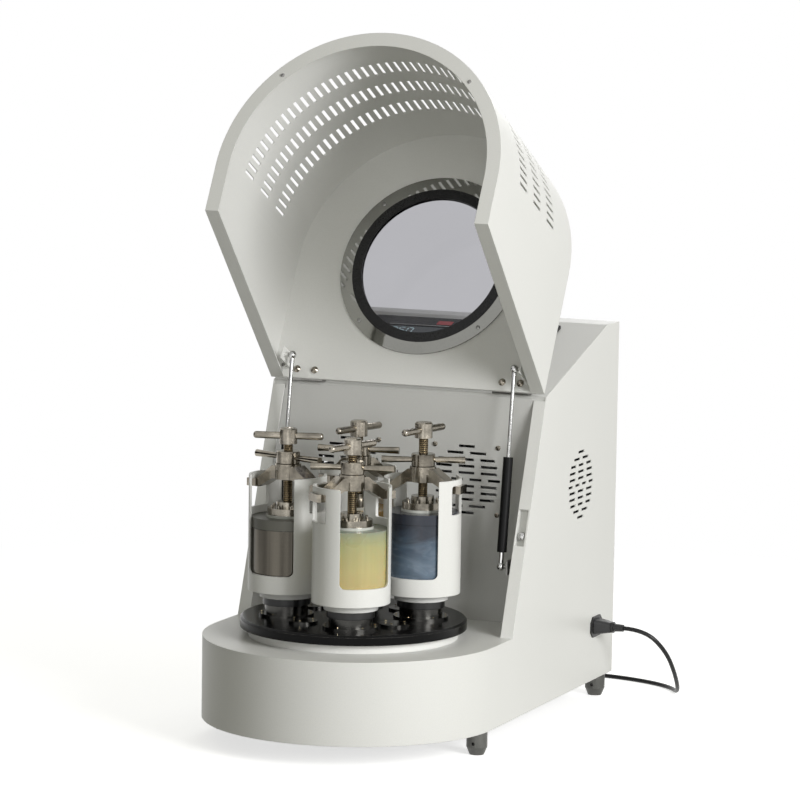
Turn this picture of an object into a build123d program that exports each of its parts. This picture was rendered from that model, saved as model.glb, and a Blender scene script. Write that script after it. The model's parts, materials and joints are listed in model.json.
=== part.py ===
from build123d import *
from math import acos, atan2, cos, degrees, hypot, pi, radians, sin, sqrt, tan
import os

os.makedirs("parts", exist_ok=True)

# Planetary ball mill with a hinged hood. Millimetres, +Z up, the front faces -Y.
# The origin is on the bench under the middle of the cabinet's footprint.

# ---------------------------------------------------------------- driving dimensions
# Cabinet
body_width = 460.0
body_depth = 761.0
base_height = 126.5  # lower edge of the base to the deck
hinge_height = 483.5  # lower edge of the base to the hinge line
top_height = 570.0  # lower edge of the base to the flat top
chamber_depth = 205.0  # turntable axis to the hinge line
flange_foot = 78.3  # turntable axis to where the leaning front edge meets the deck
flat_top_depth = 56.0
sheet = 2.0
flange_width = 20.0
ledge_width = 14.0
panel_gap = 0.3
cover_lip = 20.0  # the cover's fold behind the chamber wall
ledge_start = 24.0  # hinge line to the ledges under the slope
foot_height = 36.0
foot_radius = 16.0
foot_tip_radius = 11.0
foot_taper = 12.0
foot_inset = 19.0
front_foot_forward = 14.0  # turntable axis to the front feet
rear_foot_inset = 26.0
stud_radius = 5.0
foot_nut_radius = 9.5
foot_nut_height = 7.0
foot_flange_width = 32.0
tommy_hole_radius = 2.6
base_plate_thickness = 3.0

# Vents
fan_size = 120.0
fan_depth = 25.0
fan_hole_pitch = 105.0
fan_spacing = 200.0
fan_height = 346.5  # lower edge of the base to the fan axes
fan_vent_radius = 56.5
fan_screw_radius = 2.2
fan_duct_radius = 57.0
fan_corner = 5.0
fan_hub_radius = 20.0
fan_blade_count = 7
side_vent_radius = 55.5
side_vent_inset = 163.5  # rear face to the vent's centre
side_vent_height = 327.0
vent_row_pitch = 10.4
vent_slot_height = 4.0
vent_slot_length = 27.0
vent_slot_gap = 10.6
vent_row_counts = [1, 2, 3, 3, 3, 4, 3, 3, 3, 2, 1]

# Lid
lid_gap = 2.0  # between the lid and the cabinet's edges
rim_gap = 3.0  # between the rim and the deck
rim_width = 22.0
hinge_axis_forward = 4.5  # hinge line to the pin's axis
hinge_axis_up = 4.6
open_angle = 118.6
hood_slot_rows = [277.0, 343.0, 409.0]  # slot centres above the bench with the lid shut
hood_slot_count = 50
hood_slot_arc = 163.0
hood_slot_length = 35.0
hood_slot_width = 5.0
pane_radius = 124.0
pane_thickness = 4.0
gasket_opening = 115.0
gasket_radius = 131.0
gasket_outer = 138.0
gasket_lip = 2.0
ring_radius = 151.0
ring_thickness = 2.5
fit_gap = 0.1

# Hinges
leaf_length = 60.0
leaf_depth = 38.0
leaf_thickness = 2.5
knuckle_radius = 4.3
knuckle_count = 5
knuckle_gap = 0.4
knuckle_clear = 1.5
hinge_pin_radius = 2.0
hinge_inset = 57.0  # side face to a hinge's middle
running_gap = 0.05

# Gas springs
strut_inset = 43.5  # side face to a strut's axis
strut_low_behind = 135.6  # turntable axis to the lower ball
strut_low_height = 226.2  # lower edge of the base to the lower ball
strut_high_forward = 22.8  # hinge pin to the upper ball, lid open
strut_high_up = 39.0
strut_tube_radius = 7.5
strut_tube_length = 146.0
strut_neck = 22.0  # lower ball to the tube
strut_rod_radius = 3.0
ball_radius = 6.5
ball_neck_radius = 4.0
ball_stud_radius = 3.0
stud_length = 6.0  # ball to its bracket
bracket_half = 11.0
strut_plug = 14.0
strut_overlap = 30.0  # rod inside the tube, lid open
stud_gap = 0.3

# Turntable
disc_radius = 173.0
disc_thickness = 15.0
disc_lift = 14.0  # deck to the disc's underside
disc_bevel = 3.0
guard_radius = 160.0
guard_wall = 3.0
guard_gap = 1.0
station_radius = 102.5
station_turn = 20.7  # first station's bearing from +X

# Gear train
gear_module = 3.5
sun_teeth = 32
idler_teeth = 24
planet_teeth = 16
gear_thickness = 16.0
gear_lift = 3.5  # gear top to the disc's underside
gear_backlash = 0.3
pressure_angle = 20.0
spindle_radius = 15.0
idler_shaft_radius = 7.5
drive_shaft_radius = 17.5
case_depth = 7.0  # gear underside to the case's floor
case_floor = 4.0
pedestal_radius = 30.0
pedestal_bore = 20.0
sun_bore = 22.0
shaft_flange_radius = 45.0
shaft_flange = 3.0
bearing_radius = 31.0
bearing_width = 14.0
bearing_housing_depth = 46.0

# Belt drive
pulley_radius = 98.0
motor_pulley_radius = 28.0
pulley_width = 22.0
pulley_web = 6.0
pulley_hole_count = 6
pulley_hole_radius = 18.0
pulley_rise = 31.0  # base plate to the pulleys' underside
belt_thickness = 3.0
belt_gap = 0.3
motor_radius = 65.0
motor_length = 150.0
motor_distance = 340.0
motor_shaft_radius = 9.5
motor_post_radius = 6.0
motor_post_pitch = 120.0
motor_flange_size = 150.0

# Speed controller behind the motor's side
controller_inset = (40.0, 35.5)  # side and rear faces to the controller
controller_size = (90.0, 90.0, 150.0)
controller_fins = 8
controller_fin_depth = 18.0

# Stations
spigot_radius = 27.7
idler_spigot_radius = 17.4
bearing_flange_radius = 42.0
bearing_flange_thickness = 4.0
collar_radius = 33.0
collar_height = 13.0
seal_radius = 36.2
seal_height = 11.5
seal_gap = 0.5
boss_radius = 41.0
boss_height = 10.7
idler_cap_radius = 23.0
idler_cap_thickness = 3.5
holder_radius = 59.3
holder_wall = 4.0
holder_floor = 12.0
holder_height = 176.2
holder_band = 27.5  # underside to the windows
window_width = 80.0
window_corner = 8.0
hook_width = 46.0
hook_height = 44.0
hook_drop = 9.0  # top of a post to its hook slot
hook_corner = 3.0
jar_radius = 54.5
jar_wall = 10.0
jar_lid_height = 16.0
jar_lid_step = 3.0
jar_height = 100.0
agate_jar_height = 113.0
pad_ring_radius = 33.0
pad_ring_height = 4.0
pad_flange_radius = 31.0
pad_flange_height = 10.0
pad_boss_radius = 17.5
pad_boss_height = 9.0
pad_pin_count = 8
pad_pin_radius = 2.0
pad_pin_height = 4.0
screw_tip_radius = 5.0
screw_tip_length = 14.0
yoke_width = 30.0
yoke_reach = 65.0
yoke_tab = 12.0
yoke_rise = 22.5
yoke_hub = 20.0
yoke_hub_radius = 20.0
clamp_screw_radius = 7.0
washer_radius = 20.0
washer_thickness = 3.4
nut_radius = 18.0
nut_height = 19.0
nut_handle_reach = 63.5
nut_core = 12.0  # nut's axis to the handles' roots
nut_handle_root = 4.0
nut_handle_tip = 5.5
post_angles = {"right": 3.8, "back": 60.0, "left": -9.2, "front": 48.8}
nut_angles = {"right": 22.8, "back": 13.0, "left": -17.5, "front": 12.8}
tee_angles = {"right": 78.0, "back": 75.0, "left": 13.8, "front": 75.0}
tee_radius = 13.5
tee_height = 24.0
tee_bar_radius = 5.4
tee_bar_length = 108.0
clamp_screw_length = 88.3  # pad boss to the T-head

# Catch, inlet and panel
catch_height = 162.0  # deck to the recess's middle
recess_width = 15.0
recess_length = 57.0
recess_depth = 14.0
recess_wall = 1.5
plunger_below = 11.7  # recess's middle to the plunger
plunger_radius = 6.5
plunger_stem = 4.0
plunger_head = 3.0
plunger_dome = 3.0
plunger_sunk = 1.5  # flange face to the dome's top
plunger_stem_length = 14.0
inlet_inset = 82.0  # rear face to the inlet's centre
inlet_height = 87.0
inlet_flange_length = 50.0
inlet_flange_height = 33.0
inlet_flange_thickness = 2.5
inlet_body = (32.0, 26.0)
inlet_body_depth = 24.0
inlet_socket = (26.0, 18.0)
inlet_socket_depth = 20.0
inlet_corner = 9.0
connector_size = (31.0, 24.0)
connector_reach = 25.0
connector_nose = 14.0
relief_length = 20.0
relief_radius = 5.5
panel_width = 320.0
panel_height = 140.0
panel_thickness = 3.0
panel_drop = 20.0  # slope's top edge to the panel's top edge
panel_corner = 6.0
display_size = (150.0, 70.0)
display_x = -50.0
display_depth = 1.2
key_x = 90.0
key_pitch = 34.0
key_grid = (3, 3)
key_radius = 10.0
key_rise = 1.0

# Mains lead
cord_radius = 3.5
plug_length = 42.0
plug_width = 36.0
pin_pitch = 16.0
earth_pin_drop = 6.5
plug_pin = (2.0, 6.3, 18.0)
coil_place = (62.0, 448.0)
coil_inner = 31.5
coil_outer = 45.5

# ---------------------------------------------------------------- worked-out places
half_width = body_width / 2
front_y = -body_depth / 2
rear_y = body_depth / 2
turntable_y = front_y + half_width
base_z = foot_height
deck_z = base_z + base_height
hinge_line_y = turntable_y + chamber_depth
hinge_line_z = base_z + hinge_height
top_z = base_z + top_height
lean_y = turntable_y + flange_foot
slope_y = rear_y - flat_top_depth
lean = degrees(atan2(hinge_line_y - lean_y, hinge_line_z - deck_z))
slope = degrees(atan2(top_z - hinge_line_z, slope_y - hinge_line_y))
lean_shift = 1 / cos(radians(lean))  # horizontal distance per unit across the leaning edge
wall_y = hinge_line_y - sheet  # front face of the chamber wall
wall_top_z = hinge_line_z - 2 * sheet
pin_y = hinge_line_y - hinge_axis_forward
pin_z = hinge_line_z + hinge_axis_up
hinge_axis = Axis((0, pin_y, pin_z), (1, 0, 0))
plate_top_z = base_z + base_plate_thickness
disc_z = deck_z + disc_lift
disc_top_z = disc_z + disc_thickness
gear_top_z = disc_z - gear_lift
gear_z = gear_top_z - gear_thickness
case_floor_z = gear_z - case_depth
flange_plane = Plane(
    (0, lean_y, deck_z), x_dir=(1, 0, 0), z_dir=(0, -cos(radians(lean)), sin(radians(lean)))
)
slope_plane = Plane(
    (0, hinge_line_y, hinge_line_z), x_dir=(1, 0, 0), z_dir=(0, -sin(radians(slope)), cos(radians(slope)))
)
flange_length = hypot(hinge_line_y - lean_y, hinge_line_z - deck_z)
slope_length = hypot(slope_y - hinge_line_y, top_z - hinge_line_z)


def front_edge_y(z):
    """Where the cabinet's leaning front edge is at a height."""
    return lean_y + (z - deck_z) * tan(radians(lean))


def cover_line(depth, front, foot):
    """Side view of the cover at a depth under its outer face, front to foot."""
    rise = (front - hinge_line_y) * tan(radians(slope)) - depth / cos(radians(slope))
    return [
        (front, hinge_line_z + rise),
        (slope_y + depth * tan(radians(slope) / 2), top_z - depth),
        (rear_y - depth, top_z - depth),
        (rear_y - depth, foot),
    ]


def shut(point):
    """A point fixed to the open lid, as (y, z), where it is with the lid shut."""
    turn = radians(open_angle)
    y, z = point[0] - pin_y, point[1] - pin_z
    return (pin_y + y * cos(turn) - z * sin(turn), pin_z + y * sin(turn) + z * cos(turn))


def u_outline(inset, rear, mode=Mode.ADD):
    """Plan of the round-fronted body, in the active sketch."""
    half = half_width - inset
    with BuildLine() as outline:
        Polyline((-half, turntable_y), (-half, rear), (half, rear), (half, turntable_y))
        RadiusArc((half, turntable_y), (-half, turntable_y), half)
    make_face(outline.edges(), mode=mode)


def vent_slots(radius):
    """Rows of slots that fill a circle, in the active sketch."""
    middle = (len(vent_row_counts) - 1) / 2
    for row, count in enumerate(vent_row_counts):
        height = (row - middle) * vent_row_pitch
        chord = 2 * sqrt(radius**2 - height**2)
        length = min(vent_slot_length, (chord - (count - 1) * vent_slot_gap) / count)
        with Locations((0, height)):
            with GridLocations(length + vent_slot_gap, 1, count, 1):
                Rectangle(length, vent_slot_height)


def gear_profile(teeth):
    """Spur gear outline with its first tooth on the local X axis."""
    pitch = gear_module * teeth / 2
    base = pitch * cos(radians(pressure_angle))
    root = pitch - 1.25 * gear_module
    half_tooth = pi / (2 * teeth) - gear_backlash / (2 * pitch)
    involute_at_pitch = tan(radians(pressure_angle)) - radians(pressure_angle)
    flank = []
    for radius in (max(base, root), pitch, pitch + gear_module):
        roll = acos(min(1, base / radius))
        flank.append((radius, half_tooth + involute_at_pitch - (tan(roll) - roll)))
    flank.insert(0, (root - 0.2 * gear_module, flank[0][1]))
    upper = [(radius * cos(angle), radius * sin(angle)) for radius, angle in flank]
    lower = [(x, -y) for x, y in reversed(upper)]
    Circle(root)
    with PolarLocations(0, teeth):
        Polygon(*upper, *lower, align=None)


def meshed_angle(teeth, tooth_angle, line, mate_teeth):
    """First-tooth angle of a gear that meshes along a line of centres."""
    phase = 180 - teeth * (line - tooth_angle)
    return line + 180 - phase / mate_teeth


def polar(radius, angle, z=0):
    """A point round the turntable's axis."""
    return (radius * cos(radians(angle)), turntable_y + radius * sin(radians(angle)), z)


def ring(inner, outer, low, high):
    """Half section of a ring, in the active sketch."""
    with Locations(((inner + outer) / 2, (low + high) / 2)):
        Rectangle(outer - inner, high - low)


def section(place, axis_dir=(0, 0, 1), x_dir=(1, 0, 0)):
    """Plane through a place whose local Y is an axis to revolve round."""
    return Plane(place, x_dir=x_dir, z_dir=Vector(x_dir).cross(Vector(axis_dir)))


def strip(points, back_points):
    """Closed outline of a bent sheet, in the active sketch."""
    Polygon(*points, *reversed(back_points), align=None)


# ---------------------------------------------------------------- cabinet
side_profile = [
    (turntable_y, base_z),
    (turntable_y, deck_z),
    (lean_y, deck_z),
    (hinge_line_y, hinge_line_z),
    (slope_y, top_z),
    (rear_y, top_z),
    (rear_y, base_z),
]
inner_half = half_width - sheet
cover_half = inner_half - panel_gap
opening_half = half_width - flange_width
deck_rear_y = wall_y + 4 * sheet
deck_hole_radius = guard_radius + panel_gap
flange_reach = hinge_line_y - panel_gap - sheet * lean_shift - lean_y
flange_top_z = deck_z + flange_reach / tan(radians(lean))
side_vent_y = rear_y - side_vent_inset
side_vent_z = base_z + side_vent_height
inlet_y = rear_y - inlet_inset
inlet_z = base_z + inlet_height
pan_half = recess_width / 2 + recess_wall
recess_x = inner_half - pan_half
recess_s = catch_height / cos(radians(lean))
plunger_s = recess_s - plunger_below
fan_places = [(side * fan_spacing / 2, base_z + fan_height) for side in (-1, 1)]
feet = [
    (side * (half_width - foot_inset), y)
    for side in (-1, 1)
    for y in (turntable_y - front_foot_forward, rear_y - rear_foot_inset)
]

with BuildPart() as housing:
    with BuildSketch(Plane.XY.offset(base_z)):
        u_outline(0, rear_y)
    extrude(amount=base_height)
    with BuildSketch(Plane.XY.offset(base_z)):
        u_outline(sheet, rear_y)
    extrude(amount=base_height - sheet, mode=Mode.SUBTRACT)
    with BuildSketch(Plane.XY.offset(plate_top_z)):
        u_outline(0.5 * sheet, rear_y - sheet - panel_gap)
        u_outline(sheet + foot_flange_width, rear_y - foot_flange_width, Mode.SUBTRACT)
    extrude(amount=sheet)
    with BuildSketch(Plane.XY.offset(plate_top_z)):
        with Locations(*feet):
            Circle(stud_radius + running_gap)
    extrude(amount=sheet, mode=Mode.SUBTRACT)
    with BuildSketch(Plane.XY.offset(deck_z)):
        with Locations((0, (deck_rear_y + rear_y) / 2)):
            Rectangle(2 * inner_half, rear_y - deck_rear_y)
        with Locations((0, turntable_y)):
            Circle(deck_hole_radius)
    extrude(amount=-sheet, mode=Mode.SUBTRACT)
    for left in (-half_width, inner_half):
        with BuildSketch(Plane.YZ.offset(left)):
            Polygon(*side_profile, align=None)
        extrude(amount=sheet)
    for left in (-half_width, opening_half):
        with BuildSketch(Plane.YZ.offset(left)):
            strip(
                [(lean_y, deck_z), (front_edge_y(flange_top_z), flange_top_z)],
                [
                    (lean_y + sheet * lean_shift, deck_z),
                    (front_edge_y(flange_top_z) + sheet * lean_shift, flange_top_z),
                ],
            )
        extrude(amount=flange_width)
    for left in (-inner_half, inner_half - ledge_width):
        with BuildSketch(Plane.YZ.offset(left)):
            strip(
                cover_line(sheet, hinge_line_y + ledge_start, plate_top_z + sheet),
                cover_line(2 * sheet, hinge_line_y + ledge_start, plate_top_z + sheet),
            )
        extrude(amount=ledge_width)
    with BuildSketch(Plane.YZ.offset(-half_width)):
        with Locations((side_vent_y, side_vent_z)):
            vent_slots(side_vent_radius)
    extrude(amount=body_width, mode=Mode.SUBTRACT)
    with BuildSketch(Plane.YZ.offset(inner_half)):
        with Locations((inlet_y, inlet_z)):
            Rectangle(inlet_body[0] + 2 * panel_gap, inlet_body[1] + 2 * panel_gap)
    extrude(amount=sheet, mode=Mode.SUBTRACT)
    with BuildSketch(flange_plane):
        with Locations((recess_x, recess_s)):
            Rectangle(2 * pan_half, recess_length + 2 * recess_wall)
    extrude(amount=-recess_depth)
    with BuildSketch(flange_plane):
        with Locations((recess_x, recess_s)):
            Rectangle(recess_width, recess_length)
    extrude(amount=recess_wall - recess_depth, mode=Mode.SUBTRACT)
    with BuildSketch(flange_plane):
        with Locations((recess_x, plunger_s)):
            Circle(plunger_stem + running_gap)
    extrude(amount=-recess_depth, mode=Mode.SUBTRACT)

with BuildPart() as chamber_wall:
    notch_z = deck_z + (flange_reach - sheet) / tan(radians(lean))
    neck_half = half_width - rim_width - panel_gap
    with BuildSketch(Plane.XZ.offset(-wall_y - sheet)):
        with Locations((0, deck_z)):
            Rectangle(2 * cover_half, notch_z - deck_z, align=(Align.CENTER, Align.MIN))
            Rectangle(2 * neck_half, wall_top_z - deck_z, align=(Align.CENTER, Align.MIN))
    extrude(amount=sheet)
    with BuildSketch(Plane.XZ.offset(-wall_y - sheet)):
        with Locations(*fan_places):
            vent_slots(fan_vent_radius)
            with GridLocations(fan_hole_pitch, fan_hole_pitch, 2, 2):
                Circle(fan_screw_radius)
    extrude(amount=sheet, mode=Mode.SUBTRACT)

with BuildPart() as top_cover:
    with BuildSketch(Plane.YZ.offset(-cover_half)):
        strip(
            [(hinge_line_y, wall_top_z - cover_lip), *cover_line(0, hinge_line_y, base_z)],
            [
                (hinge_line_y + sheet, wall_top_z - cover_lip),
                *cover_line(sheet, hinge_line_y + sheet, base_z),
            ],
        )
    extrude(amount=2 * cover_half)

with BuildPart() as base_plate:
    with BuildSketch(Plane.XY.offset(base_z)):
        u_outline(sheet + panel_gap, rear_y - sheet - panel_gap)
        with Locations(*feet):
            Circle(stud_radius + running_gap, mode=Mode.SUBTRACT)
    extrude(amount=base_plate_thickness)

with BuildPart() as foot:
    with BuildSketch(Plane.XZ):
        with BuildLine():
            Polyline(
                (0, 0),
                (foot_tip_radius, 0),
                (foot_radius, foot_taper),
                (foot_radius, foot_height),
                (stud_radius, foot_height),
                (stud_radius, plate_top_z + sheet + foot_nut_height + stud_radius),
                (0, plate_top_z + sheet + foot_nut_height + stud_radius),
                close=True,
            )
        make_face()
    revolve(axis=Axis.Z)
    with BuildSketch(Plane.XY.offset(plate_top_z + sheet)):
        RegularPolygon(foot_nut_radius, 6)
    extrude(amount=foot_nut_height)
    with BuildSketch(Plane.XZ.offset(-foot_radius)):
        with Locations((0, foot_height / 2)):
            Circle(tommy_hole_radius)
    extrude(amount=2 * foot_radius, mode=Mode.SUBTRACT)

with BuildPart() as levelling_feet:
    with Locations(*feet):
        add(foot.part)

with BuildPart() as cooling_fans:
    with BuildSketch(Plane.XZ.offset(-wall_y - sheet - fan_depth)):
        with Locations(*fan_places):
            RectangleRounded(fan_size, fan_size, fan_corner)
            Circle(fan_duct_radius, mode=Mode.SUBTRACT)
            with GridLocations(fan_hole_pitch, fan_hole_pitch, 2, 2):
                Circle(fan_screw_radius, mode=Mode.SUBTRACT)
    extrude(amount=fan_depth)
    with BuildSketch(Plane.XZ.offset(-wall_y - sheet - fan_depth)):
        with Locations(*fan_places):
            Circle(fan_hub_radius)
            with PolarLocations(fan_duct_radius / 2, 3):
                Rectangle(fan_duct_radius + sheet, 3 * sheet)
    extrude(amount=1.5 * sheet)
    for place in fan_places:
        hub_plane = Plane(
            (place[0], wall_y + sheet + fan_depth - 2 * sheet, place[1]),
            x_dir=(1, 0, 0),
            z_dir=(0, -1, 0),
        )
        with BuildSketch(hub_plane):
            Circle(fan_hub_radius)
        extrude(amount=fan_depth - 3 * sheet)
        with Locations(hub_plane.offset(fan_depth / 2 - sheet)):
            with PolarLocations((fan_hub_radius + fan_duct_radius - sheet) / 2, fan_blade_count):
                Box(
                    fan_duct_radius - fan_hub_radius,
                    0.6 * sheet,
                    fan_depth - 4 * sheet,
                    rotation=(35, 0, 0),
                )

with BuildPart() as control_panel:
    panel_s = slope_length - panel_drop - panel_height / 2
    with BuildSketch(slope_plane):
        with Locations((0, panel_s)):
            RectangleRounded(panel_width, panel_height, panel_corner)
    extrude(amount=panel_thickness)
    with BuildSketch(slope_plane.offset(panel_thickness)):
        with Locations((display_x, panel_s)):
            Rectangle(*display_size)
    extrude(amount=-display_depth, mode=Mode.SUBTRACT)
    with BuildSketch(slope_plane.offset(panel_thickness)):
        with Locations((key_x, panel_s)):
            with GridLocations(key_pitch, key_pitch, *key_grid):
                Circle(key_radius)
    extrude(amount=key_rise)

with BuildPart() as power_inlet:
    with BuildSketch(Plane.YZ.offset(half_width)) as inlet_flange:
        with Locations((inlet_y, inlet_z)):
            Rectangle(inlet_flange_length, inlet_flange_height)
        chamfer(inlet_flange.vertices(), inlet_corner)
    extrude(amount=inlet_flange_thickness)
    with BuildSketch(Plane.YZ.offset(half_width)):
        with Locations((inlet_y, inlet_z)):
            Rectangle(*inlet_body)
    extrude(amount=-inlet_body_depth)
    with BuildSketch(Plane.YZ.offset(half_width + inlet_flange_thickness)):
        with Locations((inlet_y, inlet_z)):
            Rectangle(*inlet_socket)
    extrude(amount=-inlet_socket_depth, mode=Mode.SUBTRACT)

# ---------------------------------------------------------------- gear case and drive
turntable_axis = Axis((0, turntable_y, 0), (0, 0, 1))
turntable_section = section((0, turntable_y, 0))
motor_y = turntable_y + motor_distance
motor_section = section((0, motor_y, 0))
motor_axis = Axis((0, motor_y, 0), (0, 0, 1))
housing_foot_z = case_floor_z - bearing_housing_depth
housing_radius = bearing_radius + 1.5 * case_floor
pulley_z = plate_top_z + pulley_rise
pulley_top_z = pulley_z + pulley_width
motor_z = housing_foot_z - case_floor
shaft_foot_z = pulley_z - case_floor

with BuildPart() as gear_case:
    with BuildSketch(turntable_section):
        ring(guard_radius - guard_wall, guard_radius, case_floor_z - case_floor, disc_z - guard_gap)
        ring(
            guard_radius - guard_wall,
            guard_radius + 4 * guard_wall,
            deck_z - sheet - guard_wall,
            deck_z - sheet,
        )
        ring(pedestal_bore, guard_radius, case_floor_z - case_floor, case_floor_z)
        ring(bearing_radius, housing_radius, housing_foot_z, case_floor_z - case_floor)
        ring(pedestal_bore, housing_radius, housing_foot_z - case_floor, housing_foot_z)
        ring(pedestal_bore, pedestal_radius, case_floor_z, gear_z)
    revolve(axis=turntable_axis)
    with BuildSketch(turntable_section):
        for low in (housing_foot_z, case_floor_z - case_floor - bearing_width - fit_gap):
            ring(
                drive_shaft_radius + running_gap,
                bearing_radius - fit_gap,
                low + fit_gap,
                low + bearing_width,
            )
    revolve(axis=turntable_axis)

with BuildPart() as sun_gear:
    with BuildSketch(Plane.XY.offset(gear_z)):
        with Locations((0, turntable_y)):
            gear_profile(sun_teeth)
            Circle(sun_bore, mode=Mode.SUBTRACT)
    extrude(amount=gear_thickness)

with BuildPart() as carrier_shaft:
    with BuildSketch(turntable_section):
        ring(0, drive_shaft_radius, shaft_foot_z - 1.5 * case_floor, disc_z)
        ring(0, shaft_flange_radius, disc_z - shaft_flange, disc_z)
        ring(0, 1.5 * drive_shaft_radius, shaft_foot_z, pulley_top_z + case_floor)
        ring(0, pulley_radius, pulley_z + pulley_width / 2 - pulley_web, pulley_z + pulley_width / 2)
        ring(pulley_radius - pulley_web, pulley_radius, pulley_z, pulley_top_z)
    revolve(axis=turntable_axis)
    with BuildSketch(Plane.XY.offset(pulley_z)):
        with Locations((0, turntable_y)):
            with PolarLocations((1.5 * drive_shaft_radius + pulley_radius) / 2, pulley_hole_count):
                Circle(pulley_hole_radius)
    extrude(amount=pulley_width, mode=Mode.SUBTRACT)

with BuildPart() as motor_pulley:
    with BuildSketch(motor_section):
        ring(0, motor_pulley_radius, pulley_z, pulley_top_z)
        ring(0, motor_shaft_radius, shaft_foot_z, motor_z + case_floor)
        ring(0, 1.6 * motor_shaft_radius, shaft_foot_z, pulley_z)
    revolve(axis=motor_axis)

with BuildPart() as drive_motor:
    with BuildSketch(Plane.XY.offset(pulley_top_z)):
        with Locations((0, motor_y)):
            RectangleRounded(motor_flange_size, motor_flange_size, 2 * motor_post_radius)
    extrude(amount=motor_z - pulley_top_z)
    with BuildSketch(Plane.XY.offset(plate_top_z)):
        with Locations((0, motor_y)):
            with GridLocations(motor_post_pitch, motor_post_pitch, 2, 2):
                Circle(motor_post_radius)
    extrude(amount=pulley_top_z - plate_top_z)
    with BuildSketch(Plane.XY.offset(motor_z)):
        with Locations((0, motor_y)):
            Circle(motor_radius)
    extrude(amount=motor_length)
    chamfer(faces().sort_by(Axis.Z)[-1].edges(), 2 * case_floor)
    with BuildSketch(Plane.XY.offset(motor_z + motor_length / 2)):
        with Locations((0, motor_y + motor_radius)):
            RectangleRounded(motor_radius, motor_radius / 2, case_floor)
    extrude(amount=motor_radius / 2)
    with BuildSketch(Plane.XY.offset(pulley_top_z)):
        with Locations((0, motor_y)):
            Circle(motor_shaft_radius + running_gap)
    extrude(amount=motor_z - pulley_top_z + 1.5 * case_floor, mode=Mode.SUBTRACT)

with BuildPart() as drive_belt:
    for clear, mode in ((belt_gap + belt_thickness, Mode.ADD), (belt_gap, Mode.SUBTRACT)):
        with BuildSketch(Plane.XY.offset(pulley_z + belt_gap)):
            with Locations((0, turntable_y)):
                Circle(pulley_radius + clear)
            with Locations((0, motor_y)):
                Circle(motor_pulley_radius + clear)
            make_hull()
        extrude(amount=pulley_width - 2 * belt_gap, mode=mode)

controller_place = (
    controller_inset[0] + controller_size[0] / 2 - half_width,
    rear_y - controller_inset[1] - controller_size[1] / 2,
)

with BuildPart() as speed_controller:
    with BuildSketch(Plane.XY.offset(plate_top_z)):
        with Locations(controller_place):
            Rectangle(controller_size[0], controller_size[1])
    extrude(amount=controller_size[2])
    with BuildSketch(Plane.XY.offset(plate_top_z + controller_size[2])):
        with Locations(controller_place):
            with GridLocations(controller_size[0] / controller_fins, 1, controller_fins - 1, 1):
                Rectangle(controller_size[0] / controller_fins / 2, controller_size[1])
    extrude(amount=-controller_fin_depth, mode=Mode.SUBTRACT)

# ---------------------------------------------------------------- turntable
station_names = ["right", "back", "left", "front"]
station_angles = [station_turn + 90 * index for index in range(4)]
idler_pitch = gear_module * (sun_teeth + idler_teeth) / 2
mate_pitch = gear_module * (idler_teeth + planet_teeth) / 2
idler_lead = degrees(
    acos((idler_pitch**2 + station_radius**2 - mate_pitch**2) / (2 * idler_pitch * station_radius))
)
cap_top_z = disc_top_z + bearing_flange_thickness
collar_top_z = cap_top_z + collar_height

with BuildPart() as carrier_disc:
    with BuildSketch(Plane.XY.offset(disc_z)):
        with Locations((0, turntable_y)):
            Circle(disc_radius)
    extrude(amount=disc_thickness)
    chamfer(faces().sort_by(Axis.Z)[-1].edges(), disc_bevel)
    with BuildSketch(Plane.XY.offset(disc_z)):
        for angle in station_angles:
            with Locations(polar(station_radius, angle)):
                Circle(spigot_radius + running_gap)
            with Locations(polar(idler_pitch, angle + idler_lead)):
                Circle(idler_spigot_radius + running_gap)
    extrude(amount=disc_thickness, mode=Mode.SUBTRACT)

with BuildPart() as station_cap:
    with BuildSketch(Plane.XZ):
        ring(spindle_radius + running_gap, spigot_radius, disc_z, disc_top_z)
        ring(spindle_radius + running_gap, bearing_flange_radius, disc_top_z, cap_top_z)
        ring(spindle_radius + running_gap, collar_radius, cap_top_z, collar_top_z)
    revolve(axis=Axis.Z)

with BuildPart() as idler_cap:
    with BuildSketch(Plane.XZ):
        ring(0, idler_spigot_radius, disc_z, disc_top_z)
        ring(0, idler_cap_radius, disc_top_z, disc_top_z + idler_cap_thickness)
        with Locations((idler_shaft_radius / 2, disc_z)):
            Rectangle(
                idler_shaft_radius + 2 * running_gap,
                2 * (disc_thickness - case_floor),
                mode=Mode.SUBTRACT,
            )
    revolve(axis=Axis.Z)

with BuildPart() as bearing_caps:
    for angle in station_angles:
        with Locations(polar(station_radius, angle)):
            add(station_cap.part)
        with Locations(polar(idler_pitch, angle + idler_lead)):
            add(idler_cap.part)

with BuildPart() as idler:
    with BuildSketch(Plane.XY.offset(gear_z)):
        gear_profile(idler_teeth)
    extrude(amount=gear_thickness)
    with BuildSketch(Plane.XZ):
        ring(0, 1.5 * idler_shaft_radius, gear_z, disc_z - panel_gap)
        ring(0, idler_shaft_radius, gear_z, disc_top_z - case_floor - panel_gap)
    revolve(axis=Axis.Z)

# ---------------------------------------------------------------- stations
seal_z = collar_top_z + seal_gap
boss_z = seal_z + seal_height
holder_z = boss_z + boss_height
holder_top_z = holder_z + holder_height
holder_bore = holder_radius - holder_wall
jar_z = holder_z + holder_floor
hook_top_z = holder_top_z - hook_drop
yoke_z = hook_top_z - yoke_tab
hub_top_z = hook_top_z + yoke_rise
nut_z = hub_top_z + washer_thickness + 2 * fit_gap

with BuildPart() as planet_gear:
    with BuildSketch(Plane.XY.offset(gear_z)):
        gear_profile(planet_teeth)
    extrude(amount=gear_thickness)

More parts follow.
